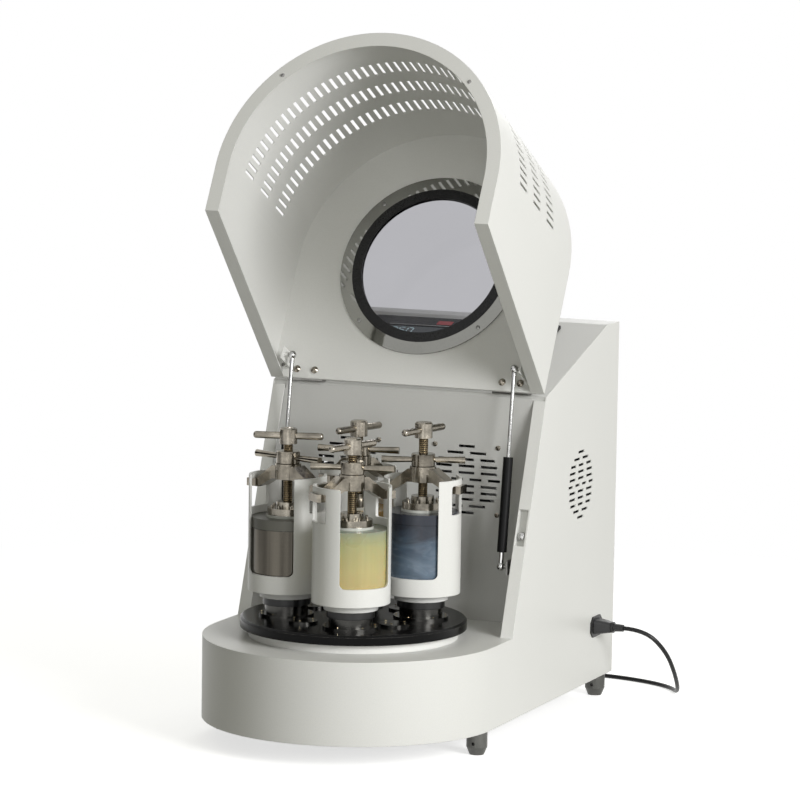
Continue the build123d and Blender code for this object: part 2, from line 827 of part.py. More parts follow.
with BuildPart() as holder:
    with BuildSketch(Plane.XZ):
        ring(0, spindle_radius, gear_z, boss_z)
        ring(0, seal_radius, seal_z, boss_z)
        ring(0, boss_radius, boss_z, holder_z)
        ring(0, holder_radius, holder_z, jar_z)
        ring(holder_bore, holder_radius, jar_z, holder_top_z)
    revolve(axis=Axis.Z)
    with BuildSketch(Plane.XZ.offset(-holder_radius)):
        with Locations((0, holder_z + holder_band)):
            RectangleRounded(
                window_width,
                2 * holder_height,
                window_corner,
                align=(Align.CENTER, Align.MIN),
            )
    extrude(amount=2 * holder_radius, mode=Mode.SUBTRACT)
    with BuildSketch(Plane.YZ.offset(-holder_radius)):
        with Locations((0, hook_top_z - hook_height / 2)):
            RectangleRounded(hook_width, hook_height, hook_corner)
    extrude(amount=2 * holder_radius, mode=Mode.SUBTRACT)

with BuildPart() as yoke:
    with BuildSketch(Plane.XZ.offset(-yoke_width / 2)):
        with BuildLine():
            Polyline(
                (0, hub_top_z - yoke_hub),
                (yoke_hub_radius, hub_top_z - yoke_hub),
                (holder_bore - yoke_tab, yoke_z),
                (yoke_reach, yoke_z),
                (yoke_reach, hook_top_z),
                (holder_bore - 0.6 * yoke_tab, hook_top_z),
                (yoke_hub_radius, hub_top_z),
                (0, hub_top_z),
            )
            mirror(about=Plane.YZ)
        make_face()
    extrude(amount=yoke_width)
    with BuildSketch(Plane.XY.offset(hub_top_z - yoke_hub)):
        Circle(yoke_hub_radius)
    extrude(amount=yoke_hub)
    with BuildSketch(Plane.XY.offset(hub_top_z - yoke_hub)):
        Circle(clamp_screw_radius + running_gap)
    extrude(amount=yoke_hub, mode=Mode.SUBTRACT)


def mill_jar(height):
    """A grinding jar and its lid, standing in a holder."""
    body_height = height - jar_lid_height
    with BuildPart() as jar:
        with BuildSketch(Plane.XZ):
            ring(0, jar_radius, jar_z, jar_z + jar_wall)
            ring(jar_radius - jar_wall, jar_radius, jar_z + jar_wall, jar_z + body_height)
        revolve(axis=Axis.Z)
        with BuildSketch(Plane.XZ):
            ring(0, jar_radius, jar_z + body_height + fit_gap, jar_z + height)
            ring(
                0,
                jar_radius - jar_wall - fit_gap,
                jar_z + body_height - jar_lid_step,
                jar_z + body_height + fit_gap,
            )
        revolve(axis=Axis.Z)
    return jar.part


def clamping_pad(height):
    """The pad that presses a jar's lid, with the seat for the screw's tip."""
    ring_z = jar_z + height
    flange_z = ring_z + pad_ring_height
    boss_foot_z = flange_z + pad_flange_height
    boss_top_z = boss_foot_z + pad_boss_height
    with BuildPart() as pad:
        with BuildSketch(Plane.XZ):
            ring(0, pad_ring_radius, ring_z, flange_z)
            ring(0, pad_flange_radius, flange_z, boss_foot_z)
            ring(0, pad_boss_radius, boss_foot_z, boss_top_z)
        revolve(axis=Axis.Z)
        with BuildSketch(Plane.XY.offset(boss_foot_z)):
            with PolarLocations((pad_boss_radius + pad_flange_radius) / 2, pad_pin_count):
                Circle(pad_pin_radius)
        extrude(amount=pad_pin_height)
        with BuildSketch(Plane.XY.offset(boss_top_z)):
            Circle(screw_tip_radius + running_gap)
        extrude(amount=-screw_tip_length - fit_gap, mode=Mode.SUBTRACT)
    return pad.part


with BuildPart() as tee_bar:
    Cylinder(tee_bar_radius, tee_bar_length, rotation=(0, 90, 0))
    fillet(edges().filter_by(GeomType.CIRCLE), 0.8 * tee_bar_radius)


def tee_screw(height):
    """The clamping screw from its tip in the pad to its T-handle."""
    foot_z = jar_z + height + pad_ring_height + pad_flange_height + pad_boss_height
    tee_z = foot_z + clamp_screw_length
    bar_z = tee_z + tee_height / 2
    with BuildPart() as screw:
        with BuildSketch(Plane.XZ):
            ring(0, screw_tip_radius, foot_z - screw_tip_length, foot_z)
            ring(0, clamp_screw_radius, foot_z + fit_gap, tee_z)
            ring(0, screw_tip_radius, foot_z, foot_z + fit_gap)
            ring(0, tee_radius, tee_z, tee_z + tee_height)
        revolve(axis=Axis.Z)
        chamfer(faces().sort_by(Axis.Z)[-1].edges(), sheet)
        with Locations((0, 0, bar_z)):
            add(tee_bar.part)
    return screw.part


with BuildPart() as nut:
    with BuildSketch(Plane.XZ):
        ring(clamp_screw_radius + running_gap, nut_radius, nut_z, nut_z + nut_height)
    revolve(axis=Axis.Z)
    chamfer(edges().filter_by(GeomType.CIRCLE).group_by(SortBy.RADIUS)[-1], 0.5 * sheet)
    for side in (-1, 1):
        root_plane = Plane((side * nut_core, 0, nut_z + nut_height / 2), z_dir=(side, 0, 0))
        with BuildSketch(root_plane):
            Circle(nut_handle_root)
        with BuildSketch(root_plane.offset(nut_handle_reach - nut_core)):
            Circle(nut_handle_tip)
        loft()
    with BuildSketch(Plane.XZ):
        ring(
            clamp_screw_radius + running_gap,
            washer_radius,
            hub_top_z + fit_gap,
            hub_top_z + fit_gap + washer_thickness,
        )
    revolve(axis=Axis.Z)


# Every station in its place, with its gears in mesh
stations = {}
for index, name in enumerate(station_names):
    angle = station_angles[index]
    place = polar(station_radius, angle)
    idler_angle = angle + idler_lead
    idler_place = polar(idler_pitch, idler_angle)
    idler_tooth = meshed_angle(sun_teeth, 0, idler_angle, idler_teeth)
    to_planet = degrees(atan2(place[1] - idler_place[1], place[0] - idler_place[0]))
    planet_tooth = meshed_angle(idler_teeth, idler_tooth, to_planet, planet_teeth)
    height = agate_jar_height if name == "right" else jar_height
    post_spot = Location(place, (0, 0, post_angles[name]))
    with BuildPart() as jar_holder:
        with Locations(post_spot):
            add(holder.part)
        with Locations(Location(place, (0, 0, planet_tooth))):
            add(planet_gear.part)
    stations["jar_holder_" + name] = jar_holder.part
    stations["idler_gear_" + name] = idler.part.moved(Location(idler_place, (0, 0, idler_tooth)))
    stations["jar_" + name] = mill_jar(height).moved(post_spot)
    stations["yoke_" + name] = yoke.part.moved(post_spot)
    stations["clamp_pad_" + name] = clamping_pad(height).moved(post_spot)
    stations["clamp_screw_" + name] = tee_screw(height).moved(Location(place, (0, 0, tee_angles[name])))
    stations["lock_nut_" + name] = nut.part.moved(Location(place, (0, 0, nut_angles[name])))

# ---------------------------------------------------------------- lid, built shut
rim_z = deck_z + rim_gap
lid_inner_z = hinge_line_z - sheet
lid_plane = flange_plane.offset(lid_gap)
glass_z = hinge_line_z - sheet / 2 - pane_thickness / 2
groove_radius = pane_radius + fit_gap
sheet_hole = groove_radius + 1.6 * gasket_lip

with BuildPart() as hood_cavity:
    with BuildSketch(Plane.XY.offset(rim_z + sheet)):
        u_outline(sheet, hinge_line_y)
    extrude(amount=lid_inner_z - rim_z - sheet)
    split(bisect_by=lid_plane.offset(sheet), keep=Keep.TOP)
    with BuildSketch(Plane.XY.offset(rim_z - sheet)):
        u_outline(rim_width, hinge_line_y + rim_width)
    extrude(amount=lid_inner_z - rim_z + sheet)

with BuildPart() as shut_hood:
    with BuildSketch(Plane.XY.offset(rim_z)):
        u_outline(0, hinge_line_y)
    extrude(amount=hinge_line_z - rim_z)
    split(bisect_by=lid_plane, keep=Keep.TOP)
    add(hood_cavity.part, mode=Mode.SUBTRACT)
    with BuildSketch(Plane.XY.offset(lid_inner_z)):
        with Locations((0, turntable_y)):
            Circle(sheet_hole)
    extrude(amount=sheet, mode=Mode.SUBTRACT)
    for height in hood_slot_rows:
        with Locations((0, turntable_y, height)):
            with PolarLocations(
                half_width, hood_slot_count, -90 - hood_slot_arc / 2, hood_slot_arc, endpoint=True
            ):
                Box(4 * sheet, hood_slot_width, hood_slot_length, mode=Mode.SUBTRACT)

with BuildPart() as shut_window:
    with BuildSketch(Plane.XY.offset(glass_z)):
        with Locations((0, turntable_y)):
            Circle(pane_radius)
    extrude(amount=pane_thickness)

with BuildPart() as shut_gasket:
    low = glass_z - fit_gap - gasket_lip
    high = glass_z + pane_thickness + fit_gap + gasket_lip
    with BuildSketch(turntable_section):
        ring(gasket_opening, gasket_radius - fit_gap, low, lid_inner_z - fit_gap)
        ring(gasket_opening, gasket_outer, hinge_line_z + fit_gap, high)
        ring(groove_radius, sheet_hole - fit_gap, low, high)
        with Locations((groove_radius, glass_z + pane_thickness / 2)):
            Rectangle(
                groove_radius - gasket_opening + gasket_lip,
                pane_thickness + 2 * fit_gap,
                align=(Align.MAX, Align.CENTER),
                mode=Mode.SUBTRACT,
            )
    revolve(axis=turntable_axis)

with BuildPart() as shut_ring:
    with BuildSketch(turntable_section):
        ring(gasket_radius, ring_radius, lid_inner_z - ring_thickness, lid_inner_z)
    revolve(axis=turntable_axis)

# ---------------------------------------------------------------- hinges and strut ends
knuckle_pitch = (leaf_length + knuckle_gap) / knuckle_count
knuckle_length = knuckle_pitch - knuckle_gap
leaf_left = half_width - hinge_inset - leaf_length / 2
strut_x = half_width - strut_inset
strut_low = Vector(strut_x, turntable_y + strut_low_behind, base_z + strut_low_height)
strut_high = Vector(strut_x, pin_y - strut_high_forward, pin_z + strut_high_up)
shut_high = shut((strut_high.Y, strut_high.Z))
plate_x = strut_x + ball_radius + stud_length
open_lid = Location((0, pin_y, pin_z), (-open_angle, 0, 0)) * Location((0, -pin_y, -pin_z))


def slope_point(along, above):
    """A point by its distances along and above the slope, as (y, z)."""
    turn = radians(slope)
    y = hinge_line_y + along * cos(turn) - above * sin(turn)
    z = hinge_line_z + along * sin(turn) + above * cos(turn)
    return (y, z)


def knuckles(indices, gusset):
    """Knuckles round the hinge pin, with the curls that join them to a leaf."""
    for index in indices:
        with BuildSketch(Plane.YZ.offset(leaf_left + index * knuckle_pitch)) as curl:
            with Locations((pin_y, pin_z)):
                Circle(knuckle_radius)
            Polygon(*gusset, align=None)
        extrude(curl.sketch, amount=knuckle_length)


def cut_round_pin(indices, radius, grow=0.0):
    """Clears the hinge pin's axis at some of the knuckles."""
    for index in indices:
        with BuildSketch(Plane.YZ.offset(leaf_left + index * knuckle_pitch - grow)) as bore:
            with Locations((pin_y, pin_z)):
                Circle(radius)
        extrude(bore.sketch, amount=knuckle_length + 2 * grow, mode=Mode.SUBTRACT)


lid_knuckles = range(1, knuckle_count, 2)
cabinet_knuckles = range(0, knuckle_count, 2)

with BuildPart() as shut_hardware:
    with BuildSketch(Plane.YZ.offset(leaf_left)):
        with Locations((pin_y - leaf_depth, hinge_line_z)):
            Rectangle(leaf_depth, leaf_thickness, align=(Align.MIN, Align.MIN))
    extrude(amount=leaf_length)
    cut_round_pin(cabinet_knuckles, knuckle_radius + knuckle_clear, knuckle_gap)
    knuckles(
        lid_knuckles,
        [
            (pin_y, pin_z),
            (pin_y, hinge_line_z + leaf_thickness / 2),
            (pin_y - 3 * leaf_thickness, hinge_line_z + leaf_thickness / 2),
            (pin_y - 3 * leaf_thickness, hinge_line_z + leaf_thickness),
            (pin_y - 0.8 * knuckle_radius, pin_z + 0.4 * knuckle_radius),
        ],
    )
    cut_round_pin(lid_knuckles, hinge_pin_radius + running_gap)
    with BuildSketch(Plane.YZ.offset(plate_x)):
        with Locations((shut_high[0], shut_high[1] - bracket_half)):
            Rectangle(
                2 * bracket_half,
                lid_inner_z - shut_high[1] + bracket_half,
                align=(Align.CENTER, Align.MIN),
            )
    extrude(amount=leaf_thickness)
    with BuildSketch(Plane.YZ.offset(plate_x)):
        with Locations((shut_high[0], lid_inner_z)):
            Rectangle(2 * bracket_half, leaf_thickness, align=(Align.CENTER, Align.MAX))
    extrude(amount=2 * bracket_half)
    with BuildSketch(Plane.YZ.offset(strut_x + ball_radius + stud_gap)):
        with Locations(shut_high):
            Circle(ball_stud_radius)
    extrude(amount=stud_length - stud_gap)
    mirror(about=Plane.YZ)

with BuildPart() as cabinet_hardware:
    with BuildSketch(slope_plane):
        with Locations((leaf_left, 0)):
            Rectangle(leaf_length, leaf_depth, align=(Align.MIN, Align.MIN))
    extrude(amount=leaf_thickness)
    cut_round_pin(lid_knuckles, knuckle_radius + knuckle_clear, knuckle_gap)
    knuckles(
        cabinet_knuckles,
        [
            (pin_y, pin_z),
            slope_point(0, leaf_thickness / 2),
            slope_point(3 * leaf_thickness, leaf_thickness / 2),
            slope_point(3 * leaf_thickness, leaf_thickness),
            (pin_y + 0.8 * knuckle_radius, pin_z + 0.4 * knuckle_radius),
        ],
    )
    cut_round_pin(cabinet_knuckles, hinge_pin_radius + running_gap)
    with BuildSketch(Plane.YZ.offset(plate_x)):
        with Locations((strut_low.Y, strut_low.Z)):
            Rectangle(2 * bracket_half, 2 * bracket_half)
    extrude(amount=leaf_thickness)
    with BuildSketch(Plane.XY.offset(strut_low.Z - bracket_half)):
        with Locations((plate_x, strut_low.Y + bracket_half)):
            Rectangle(inner_half - plate_x, leaf_thickness, align=(Align.MIN, Align.MAX))
        with Locations((inner_half, strut_low.Y + bracket_half - leaf_thickness)):
            Rectangle(leaf_thickness, 2 * bracket_half, align=(Align.MAX, Align.MIN))
    extrude(amount=2 * bracket_half)
    with BuildSketch(Plane.YZ.offset(strut_x - ball_stud_radius)):
        with Locations((strut_low.Y, strut_low.Z)):
            Circle(ball_stud_radius)
    extrude(amount=plate_x - strut_x + ball_stud_radius)
    with BuildSketch(Plane.YZ.offset(leaf_left)):
        with Locations((pin_y, pin_z)):
            Circle(hinge_pin_radius)
    extrude(amount=leaf_length)
    mirror(about=Plane.YZ)

with BuildPart() as catch_plunger:
    plunger_place = flange_plane.from_local_coords(Vector(recess_x, plunger_s, 0))
    with BuildSketch(section(plunger_place, flange_plane.z_dir)):
        head_z = -plunger_sunk - plunger_dome - plunger_head
        ring(0, plunger_stem, head_z - plunger_stem_length, head_z)
        ring(0, plunger_radius, head_z, head_z + plunger_head)
        with BuildLine():
            RadiusArc(
                (0, -plunger_sunk),
                (plunger_radius, -plunger_sunk - plunger_dome),
                (plunger_radius**2 + plunger_dome**2) / 2 / plunger_dome,
            )
            Polyline(
                (plunger_radius, -plunger_sunk - plunger_dome),
                (0, -plunger_sunk - plunger_dome),
                (0, -plunger_sunk),
            )
        make_face()
    revolve(axis=Axis(plunger_place, flange_plane.z_dir))

# ---------------------------------------------------------------- gas springs
strut_dir = (strut_high - strut_low).normalized()
strut_reach = (strut_high - strut_low).length
strut_section = section(strut_low, strut_dir)
strut_axis = Axis(strut_low, strut_dir)
tube_low = strut_neck
tube_high = tube_low + strut_tube_length

with BuildPart() as strut_tube:
    with BuildSketch(strut_section):
        ring(0, ball_neck_radius, 0, tube_low)
        ring(0, strut_tube_radius, tube_low, tube_low + strut_plug)
        ring(strut_rod_radius + stud_gap, strut_tube_radius, tube_low, tube_high)
    revolve(axis=strut_axis)
    with Locations(strut_low):
        Sphere(ball_radius)
    with BuildSketch(Plane.YZ.offset(strut_x - ball_stud_radius - running_gap)):
        with Locations((strut_low.Y, strut_low.Z)):
            Circle(ball_stud_radius + running_gap)
    extrude(amount=2 * ball_radius, mode=Mode.SUBTRACT)

with BuildPart() as strut_rod:
    with BuildSketch(strut_section):
        ring(0, strut_rod_radius, tube_high - strut_overlap, strut_reach)
        ring(0, ball_neck_radius, strut_reach - 2 * ball_radius, strut_reach)
    revolve(axis=strut_axis)
    with Locations(strut_high):
        Sphere(ball_radius)

# ---------------------------------------------------------------- mains lead
socket_face = half_width + inlet_flange_thickness
connector_x = socket_face + panel_gap
relief_x = connector_x + connector_reach
cord_exit = relief_x + relief_length
cord_floor = cord_radius + panel_gap

with BuildPart() as cord_connector:
    with BuildSketch(Plane.YZ.offset(connector_x - connector_nose)):
        with Locations((inlet_y, inlet_z)):
            Rectangle(inlet_socket[0] - 2 * panel_gap, inlet_socket[1] - 2 * panel_gap)
    extrude(amount=connector_nose)
    with BuildSketch(Plane.YZ.offset(connector_x)):
        with Locations((inlet_y, inlet_z)):
            RectangleRounded(*connector_size, relief_radius)
    with BuildSketch(Plane.YZ.offset(relief_x)):
        with Locations((inlet_y, inlet_z)):
            RectangleRounded(3.6 * relief_radius, 3 * relief_radius, relief_radius)
    loft()
    with BuildSketch(section((0, inlet_y, inlet_z), (1, 0, 0), (0, 1, 0))):
        with BuildLine():
            Polyline(
                (0, relief_x),
                (1.6 * relief_radius, relief_x),
                (1.6 * relief_radius, relief_x + 0.2 * relief_length),
                (1.2 * relief_radius, relief_x + 0.2 * relief_length),
                (relief_radius, cord_exit),
                (0, cord_exit),
                close=True,
            )
        make_face()
    revolve(axis=Axis((0, inlet_y, inlet_z), (1, 0, 0)))

cord_points = [
    Vector(cord_exit, inlet_y, inlet_z),
    Vector(cord_exit + 36, inlet_y, inlet_z),
    Vector(344, 318, 88),
    Vector(349, 354, 42),
    Vector(338, 402, 5),
    Vector(306, 452, cord_floor),
    Vector(240, 484, cord_floor),
    Vector(163, 496, cord_floor),
    Vector(78, coil_place[1] + coil_outer - cord_radius, cord_floor),
]
cord_runs = [(b - a).length for a, b in zip(cord_points, cord_points[1:])]
cord_turns = [
    (b - a).get_angle(c - b) for a, b, c in zip(cord_points, cord_points[1:], cord_points[2:])
]
cord_bends = [
    0.45 * min(before, after) / tan(radians(turn) / 2)
    for before, after, turn in zip(cord_runs, cord_runs[1:], cord_turns)
]
print("cord runs", [round(run) for run in cord_runs])
print("cord turns", [round(turn, 1) for turn in cord_turns])
print("cord bend radii", [round(bend, 1) for bend in cord_bends])

with BuildPart() as cord_lead:
    with BuildLine() as cord_path:
        FilletPolyline(*cord_points, radius=cord_bends)
    with BuildSketch(Plane(cord_points[0], z_dir=cord_points[1] - cord_points[0])):
        Circle(cord_radius)
    sweep(path=cord_path.line)
cord_length = sum(edge.length for edge in cord_path.edges())
print("cord volume", round(cord_lead.part.volume), round(pi * cord_radius**2 * cord_length))

with BuildPart() as cord_coil:
    coil_section = section((*coil_place, 0))
    with BuildSketch(coil_section) as coil_profile:
        ring(coil_inner, coil_outer, panel_gap, panel_gap + 4 * cord_radius)
        fillet(coil_profile.vertices(), 0.9 * cord_radius)
    revolve(axis=Axis((*coil_place, 0), (0, 0, 1)))

with BuildPart() as cord_plug:
    plug_y = coil_place[1] - coil_outer + cord_radius
    plug_z = panel_gap + 3 * cord_radius
    plug_x = coil_place[0] + coil_outer / 2
    plug_plane = Plane((plug_x, plug_y, plug_z), x_dir=(0, 1, 0), z_dir=(1, 0, 0))
    with BuildSketch(plug_plane.offset(-2 * cord_radius)):
        Circle(cord_radius)
    extrude(amount=2 * cord_radius)
    with BuildSketch(plug_plane):
        Circle(1.2 * cord_radius)
    with BuildSketch(plug_plane.offset(relief_length)):
        Circle(1.8 * cord_radius)
    loft()
    with BuildSketch(plug_plane.offset(relief_length)):
        RectangleRounded(0.7 * plug_width, 5 * cord_radius, 2 * cord_radius)
    with BuildSketch(plug_plane.offset(relief_length + plug_length)):
        RectangleRounded(plug_width, 6 * cord_radius, 2 * cord_radius)
    loft()
    with BuildSketch(plug_plane.offset(relief_length + plug_length)):
        for side in (-1, 1):
            with Locations((side * pin_pitch / 2, 0)):
                Rectangle(plug_pin[0], plug_pin[1], rotation=30 * side)
        with Locations((0, -earth_pin_drop)):
            Rectangle(plug_pin[0], plug_pin[1])
    extrude(amount=plug_pin[2])

# ---------------------------------------------------------------- pieces to files
pieces = dict(
    housing=housing.part,
    chamber_wall=chamber_wall.part,
    top_cover=top_cover.part,
    base_plate=base_plate.part,
    levelling_feet=levelling_feet.part,
    cooling_fans=cooling_fans.part,
    control_panel=control_panel.part,
    power_inlet=power_inlet.part,
    gear_case=gear_case.part,
    sun_gear=sun_gear.part,
    drive_motor=drive_motor.part,
    drive_belt=drive_belt.part,
    speed_controller=speed_controller.part,
    cabinet_hardware=cabinet_hardware.part,
    catch_plunger=catch_plunger.part,
    carrier_disc=carrier_disc.part,
    carrier_shaft=carrier_shaft.part,
    bearing_caps=bearing_caps.part,
    motor_pulley=motor_pulley.part,
    **stations,
    lid_hood=shut_hood.part.moved(open_lid),
    lid_window=shut_window.part.moved(open_lid),
    lid_gasket=shut_gasket.part.moved(open_lid),
    lid_ring=shut_ring.part.moved(open_lid),
    lid_hardware=shut_hardware.part.moved(open_lid),
    strut_tube_right=strut_tube.part,
    strut_tube_left=strut_tube.part.mirror(Plane.YZ),
    strut_rod_right=strut_rod.part,
    strut_rod_left=strut_rod.part.mirror(Plane.YZ),
    cord_connector=cord_connector.part,
    cord_lead=cord_lead.part,
    cord_coil=cord_coil.part,
    cord_plug=cord_plug.part,
)
for name, piece in pieces.items():
    piece.label = name
    export_step(piece, "parts/" + name + ".step")
print(len(pieces), "pieces written")
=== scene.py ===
import json
import math

import bmesh
import bpy
from mathutils import Matrix, Vector


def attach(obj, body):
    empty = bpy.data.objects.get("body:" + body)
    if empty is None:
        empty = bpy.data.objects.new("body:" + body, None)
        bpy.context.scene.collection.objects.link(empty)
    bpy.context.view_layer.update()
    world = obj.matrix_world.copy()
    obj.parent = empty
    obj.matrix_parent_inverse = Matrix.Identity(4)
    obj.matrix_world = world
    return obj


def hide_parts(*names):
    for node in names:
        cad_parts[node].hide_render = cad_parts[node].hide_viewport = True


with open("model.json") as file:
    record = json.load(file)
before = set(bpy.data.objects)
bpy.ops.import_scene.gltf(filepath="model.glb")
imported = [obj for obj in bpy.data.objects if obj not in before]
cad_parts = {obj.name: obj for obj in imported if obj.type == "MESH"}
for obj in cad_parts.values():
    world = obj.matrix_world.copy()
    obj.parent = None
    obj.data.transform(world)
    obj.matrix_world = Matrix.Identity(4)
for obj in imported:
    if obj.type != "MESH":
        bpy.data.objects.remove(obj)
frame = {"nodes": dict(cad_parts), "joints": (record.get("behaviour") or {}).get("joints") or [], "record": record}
nodes = frame["nodes"]
joints = {joint["name"]: joint for joint in frame["joints"]}
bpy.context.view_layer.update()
print("loaded", len(nodes), "nodes of the mill")


def pinOf(jointName):
    return Vector(joints[jointName]["pos_m"])


hingePin = pinOf("lid_hinge")
lidOpening = math.radians(joints["lid_hinge"]["range_deg"][1])
lidTurn = (
    Matrix.Translation(hingePin)
    @ Matrix.Rotation(-lidOpening, 4, "X")
    @ Matrix.Translation(-hingePin)
)  # from the shut lid to the open one
slopeFoot = (0, 0.0545, 0.5195)
slopeRise, slopeRun = 0.0865, 0.270
slopeAngle = math.atan2(slopeRise, slopeRun)
slopeFrame = Matrix.Translation(slopeFoot) @ Matrix.Rotation(slopeAngle, 4, "X")
turntable = pinOf("carrier_spin")
stationNames = ["right", "back", "left", "front"]
stationPlaces = {name: pinOf("planet_spin_" + name) for name in stationNames}
idlerPlaces = [pinOf("idler_spin_" + name) for name in stationNames]
jarJoint = 0.3275  # the height where a jar meets its lid
tallJarRise = 0.013  # the right station's jar stands this much higher than the others


# Pieces
def linked(name, data):
    piece = bpy.data.objects.new(name, data)
    bpy.context.scene.collection.objects.link(piece)
    return piece


def pieceFrom(name, bm, finish):
    mesh = bpy.data.meshes.new(name)
    bm.to_mesh(mesh)
    bm.free()
    mesh.materials.append(finish)
    return linked(name, mesh)


def joinRows(bm, rows):
    # Faces between closed rows of vertices, from each row to the next and from the last to the first
    count = len(rows[0])
    for first, second in zip(rows, rows[1:] + rows[:1]):
        for index in range(count):
            after = (index + 1) % count
            bm.faces.new((first[index], first[after], second[after], second[index]))


def roundedOutline(x, y, width, height, corner, steps):
    outline = []
    for quarter, (sideX, sideY) in enumerate(((1, 1), (-1, 1), (-1, -1), (1, -1))):
        for step in range(steps + 1):
            angle = math.radians(90 * quarter + 90 * step / steps)
            acrossX = sideX * (width / 2 - corner) + corner * math.cos(angle)
            acrossY = sideY * (height / 2 - corner) + corner * math.sin(angle)
            outline.append((x + acrossX, y + acrossY))
    return outline


# Camera
viewSettings = {
    "place": (2.46496, -5.92054, 1.31258),
    "turn": 0.39711,  # radians to the left of straight ahead
    "down": 0.13091,
    "roll": 0.015,
    "lens": 188.07,
    "sensor": 36,
    "shift": (0.02046, 0.0303),
    "reach": 100,
}


def makeCamera(look):
    data = bpy.data.cameras.new("studioCamera")
    data.lens = look["lens"]
    data.sensor_width = look["sensor"]
    data.shift_x, data.shift_y = look["shift"]
    data.clip_end = look["reach"]
    camera = linked("studioCamera", data)
    camera.matrix_world = (
        Matrix.Translation(look["place"])
        @ Matrix.Rotation(look["turn"], 4, "Z")
        @ Matrix.Rotation(math.pi / 2 - look["down"], 4, "X")
        @ Matrix.Rotation(look["roll"], 4, "Z")
    )
    bpy.context.scene.camera = camera


makeCamera(viewSettings)


# Node helpers
def feed(tree, node, inputs):
    for key, value in inputs.items():
        if isinstance(value, bpy.types.NodeSocket):
            tree.links.new(value, node.inputs[key])
        else:
            node.inputs[key].default_value = value


def addNode(tree, kind, inputs=None, **options):
    node = tree.nodes.new(kind)
    for key, value in options.items():
        setattr(node, key, value)
    feed(tree, node, inputs or {})
    return node


def maths(tree, operation, *values):
    inputs = dict(enumerate(values))
    return addNode(tree, "ShaderNodeMath", inputs, operation=operation).outputs[0]


def vectorMaths(tree, operation, *values, output="Value"):
    inputs = dict(enumerate(values))
    return addNode(tree, "ShaderNodeVectorMath", inputs, operation=operation).outputs[output]


def noiseFac(tree, place, scale, detail=3.0, distortion=0.0):
    inputs = {"Vector": place, "Scale": scale, "Detail": detail, "Distortion": distortion}
    return addNode(tree, "ShaderNodeTexNoise", inputs).outputs["Fac"]


def stretched(tree, place, scale, turn=(0, 0, 0), shift=(0, 0, 0)):
    inputs = {"Vector": place, "Scale": scale, "Rotation": turn, "Location": shift}
    return addNode(tree, "ShaderNodeMapping", inputs).outputs["Vector"]


def heightOf(tree, place):
    return addNode(tree, "ShaderNodeSeparateXYZ", {"Vector": place}).outputs["Z"]


def spread(tree, fac, low, high, start=0.3, stop=0.7):
    inputs = {"Value": fac, "From Min": start, "From Max": stop, "To Min": low, "To Max": high}
    return addNode(tree, "ShaderNodeMapRange", inputs).outputs["Result"]


def heightBand(tree, place, low, high, soft=0.0002):
    # 1 between two heights
    height = heightOf(tree, place)
    above = spread(tree, height, 0, 1, low - soft, low + soft)
    below = spread(tree, height, 1, 0, high - soft, high + soft)
    return maths(tree, "MULTIPLY", above, below)


def bumped(tree, height, strength, distance, normal=None):
    inputs = {"Height": height, "Strength": strength, "Distance": distance}
    if normal:
        inputs["Normal"] = normal
    return addNode(tree, "ShaderNodeBump", inputs).outputs["Normal"]


def mixedValue(tree, fac, first, second):
    return addNode(tree, "ShaderNodeMix", {0: fac, 2: first, 3: second}).outputs[0]


def blended(tree, fac, first, second, mode="MIX"):
    inputs = {0: fac}
    for key, colour in ((6, first), (7, second)):
        inputs[key] = colour if isinstance(colour, bpy.types.NodeSocket) else (*colour, 1)
    return addNode(tree, "ShaderNodeMix", inputs, data_type="RGBA", blend_type=mode).outputs[2]


def toned(tree, fac, stops):
    ramp = addNode(tree, "ShaderNodeValToRGB", {"Fac": fac})
    while len(ramp.color_ramp.elements) < len(stops):
        ramp.color_ramp.elements.new(0.5)
    for element, (position, colour) in zip(ramp.color_ramp.elements, stops):
        element.position = position
        element.color = (*colour, 1)
    return ramp.outputs["Color"]


def shade(colour, factor):
    return tuple(channel * factor for channel in colour)


def clouded(tree, fac, colour, dark, full=0.7):
    # The colour, falling to its darker tone where the noise is low
    return toned(tree, fac, [(0.3, shade(colour, dark)), (full, colour)])


def streaked(tree, base, grain, streak):
    return blended(tree, 1.0, base, clouded(tree, grain, (1, 1, 1), streak, 0.6), "MULTIPLY")


def newFinish(name):
    finish = bpy.data.materials.new(name)
    finish.use_nodes = True
    tree = finish.node_tree
    place = addNode(tree, "ShaderNodeTexCoord").outputs["Object"]
    return finish, tree, tree.nodes["Principled BSDF"], place


# Kinds of finish
scratchDepth = 0.0001
grainDepth = 0.0002


def powderCoat(look):
    finish, tree, shader, place = newFinish(look["name"])
    drift = noiseFac(tree, place, look["driftScale"], 2)
    speck = noiseFac(tree, place, look["speckScale"], 2)
    peel = noiseFac(tree, place, look["peelScale"], 2)
    base = clouded(tree, drift, look["colour"], 0.97)
    colour = blended(tree, 1.0, base, toned(tree, speck, look["speckStops"]), "MULTIPLY")
    for low, high, tone in look.get("bands", ()):
        colour = blended(tree, heightBand(tree, place, low, high), colour, tone)
    rounded = addNode(tree, "ShaderNodeBevel", {"Radius": look["bend"]}, samples=4)
    inputs = {
        "Base Color": colour,
        "Roughness": spread(tree, speck, *look["roughness"]),
        "Normal": bumped(tree, peel, look["peel"], look["peelDepth"], rounded.outputs["Normal"]),
    }
    feed(tree, shader, inputs)
    return finish


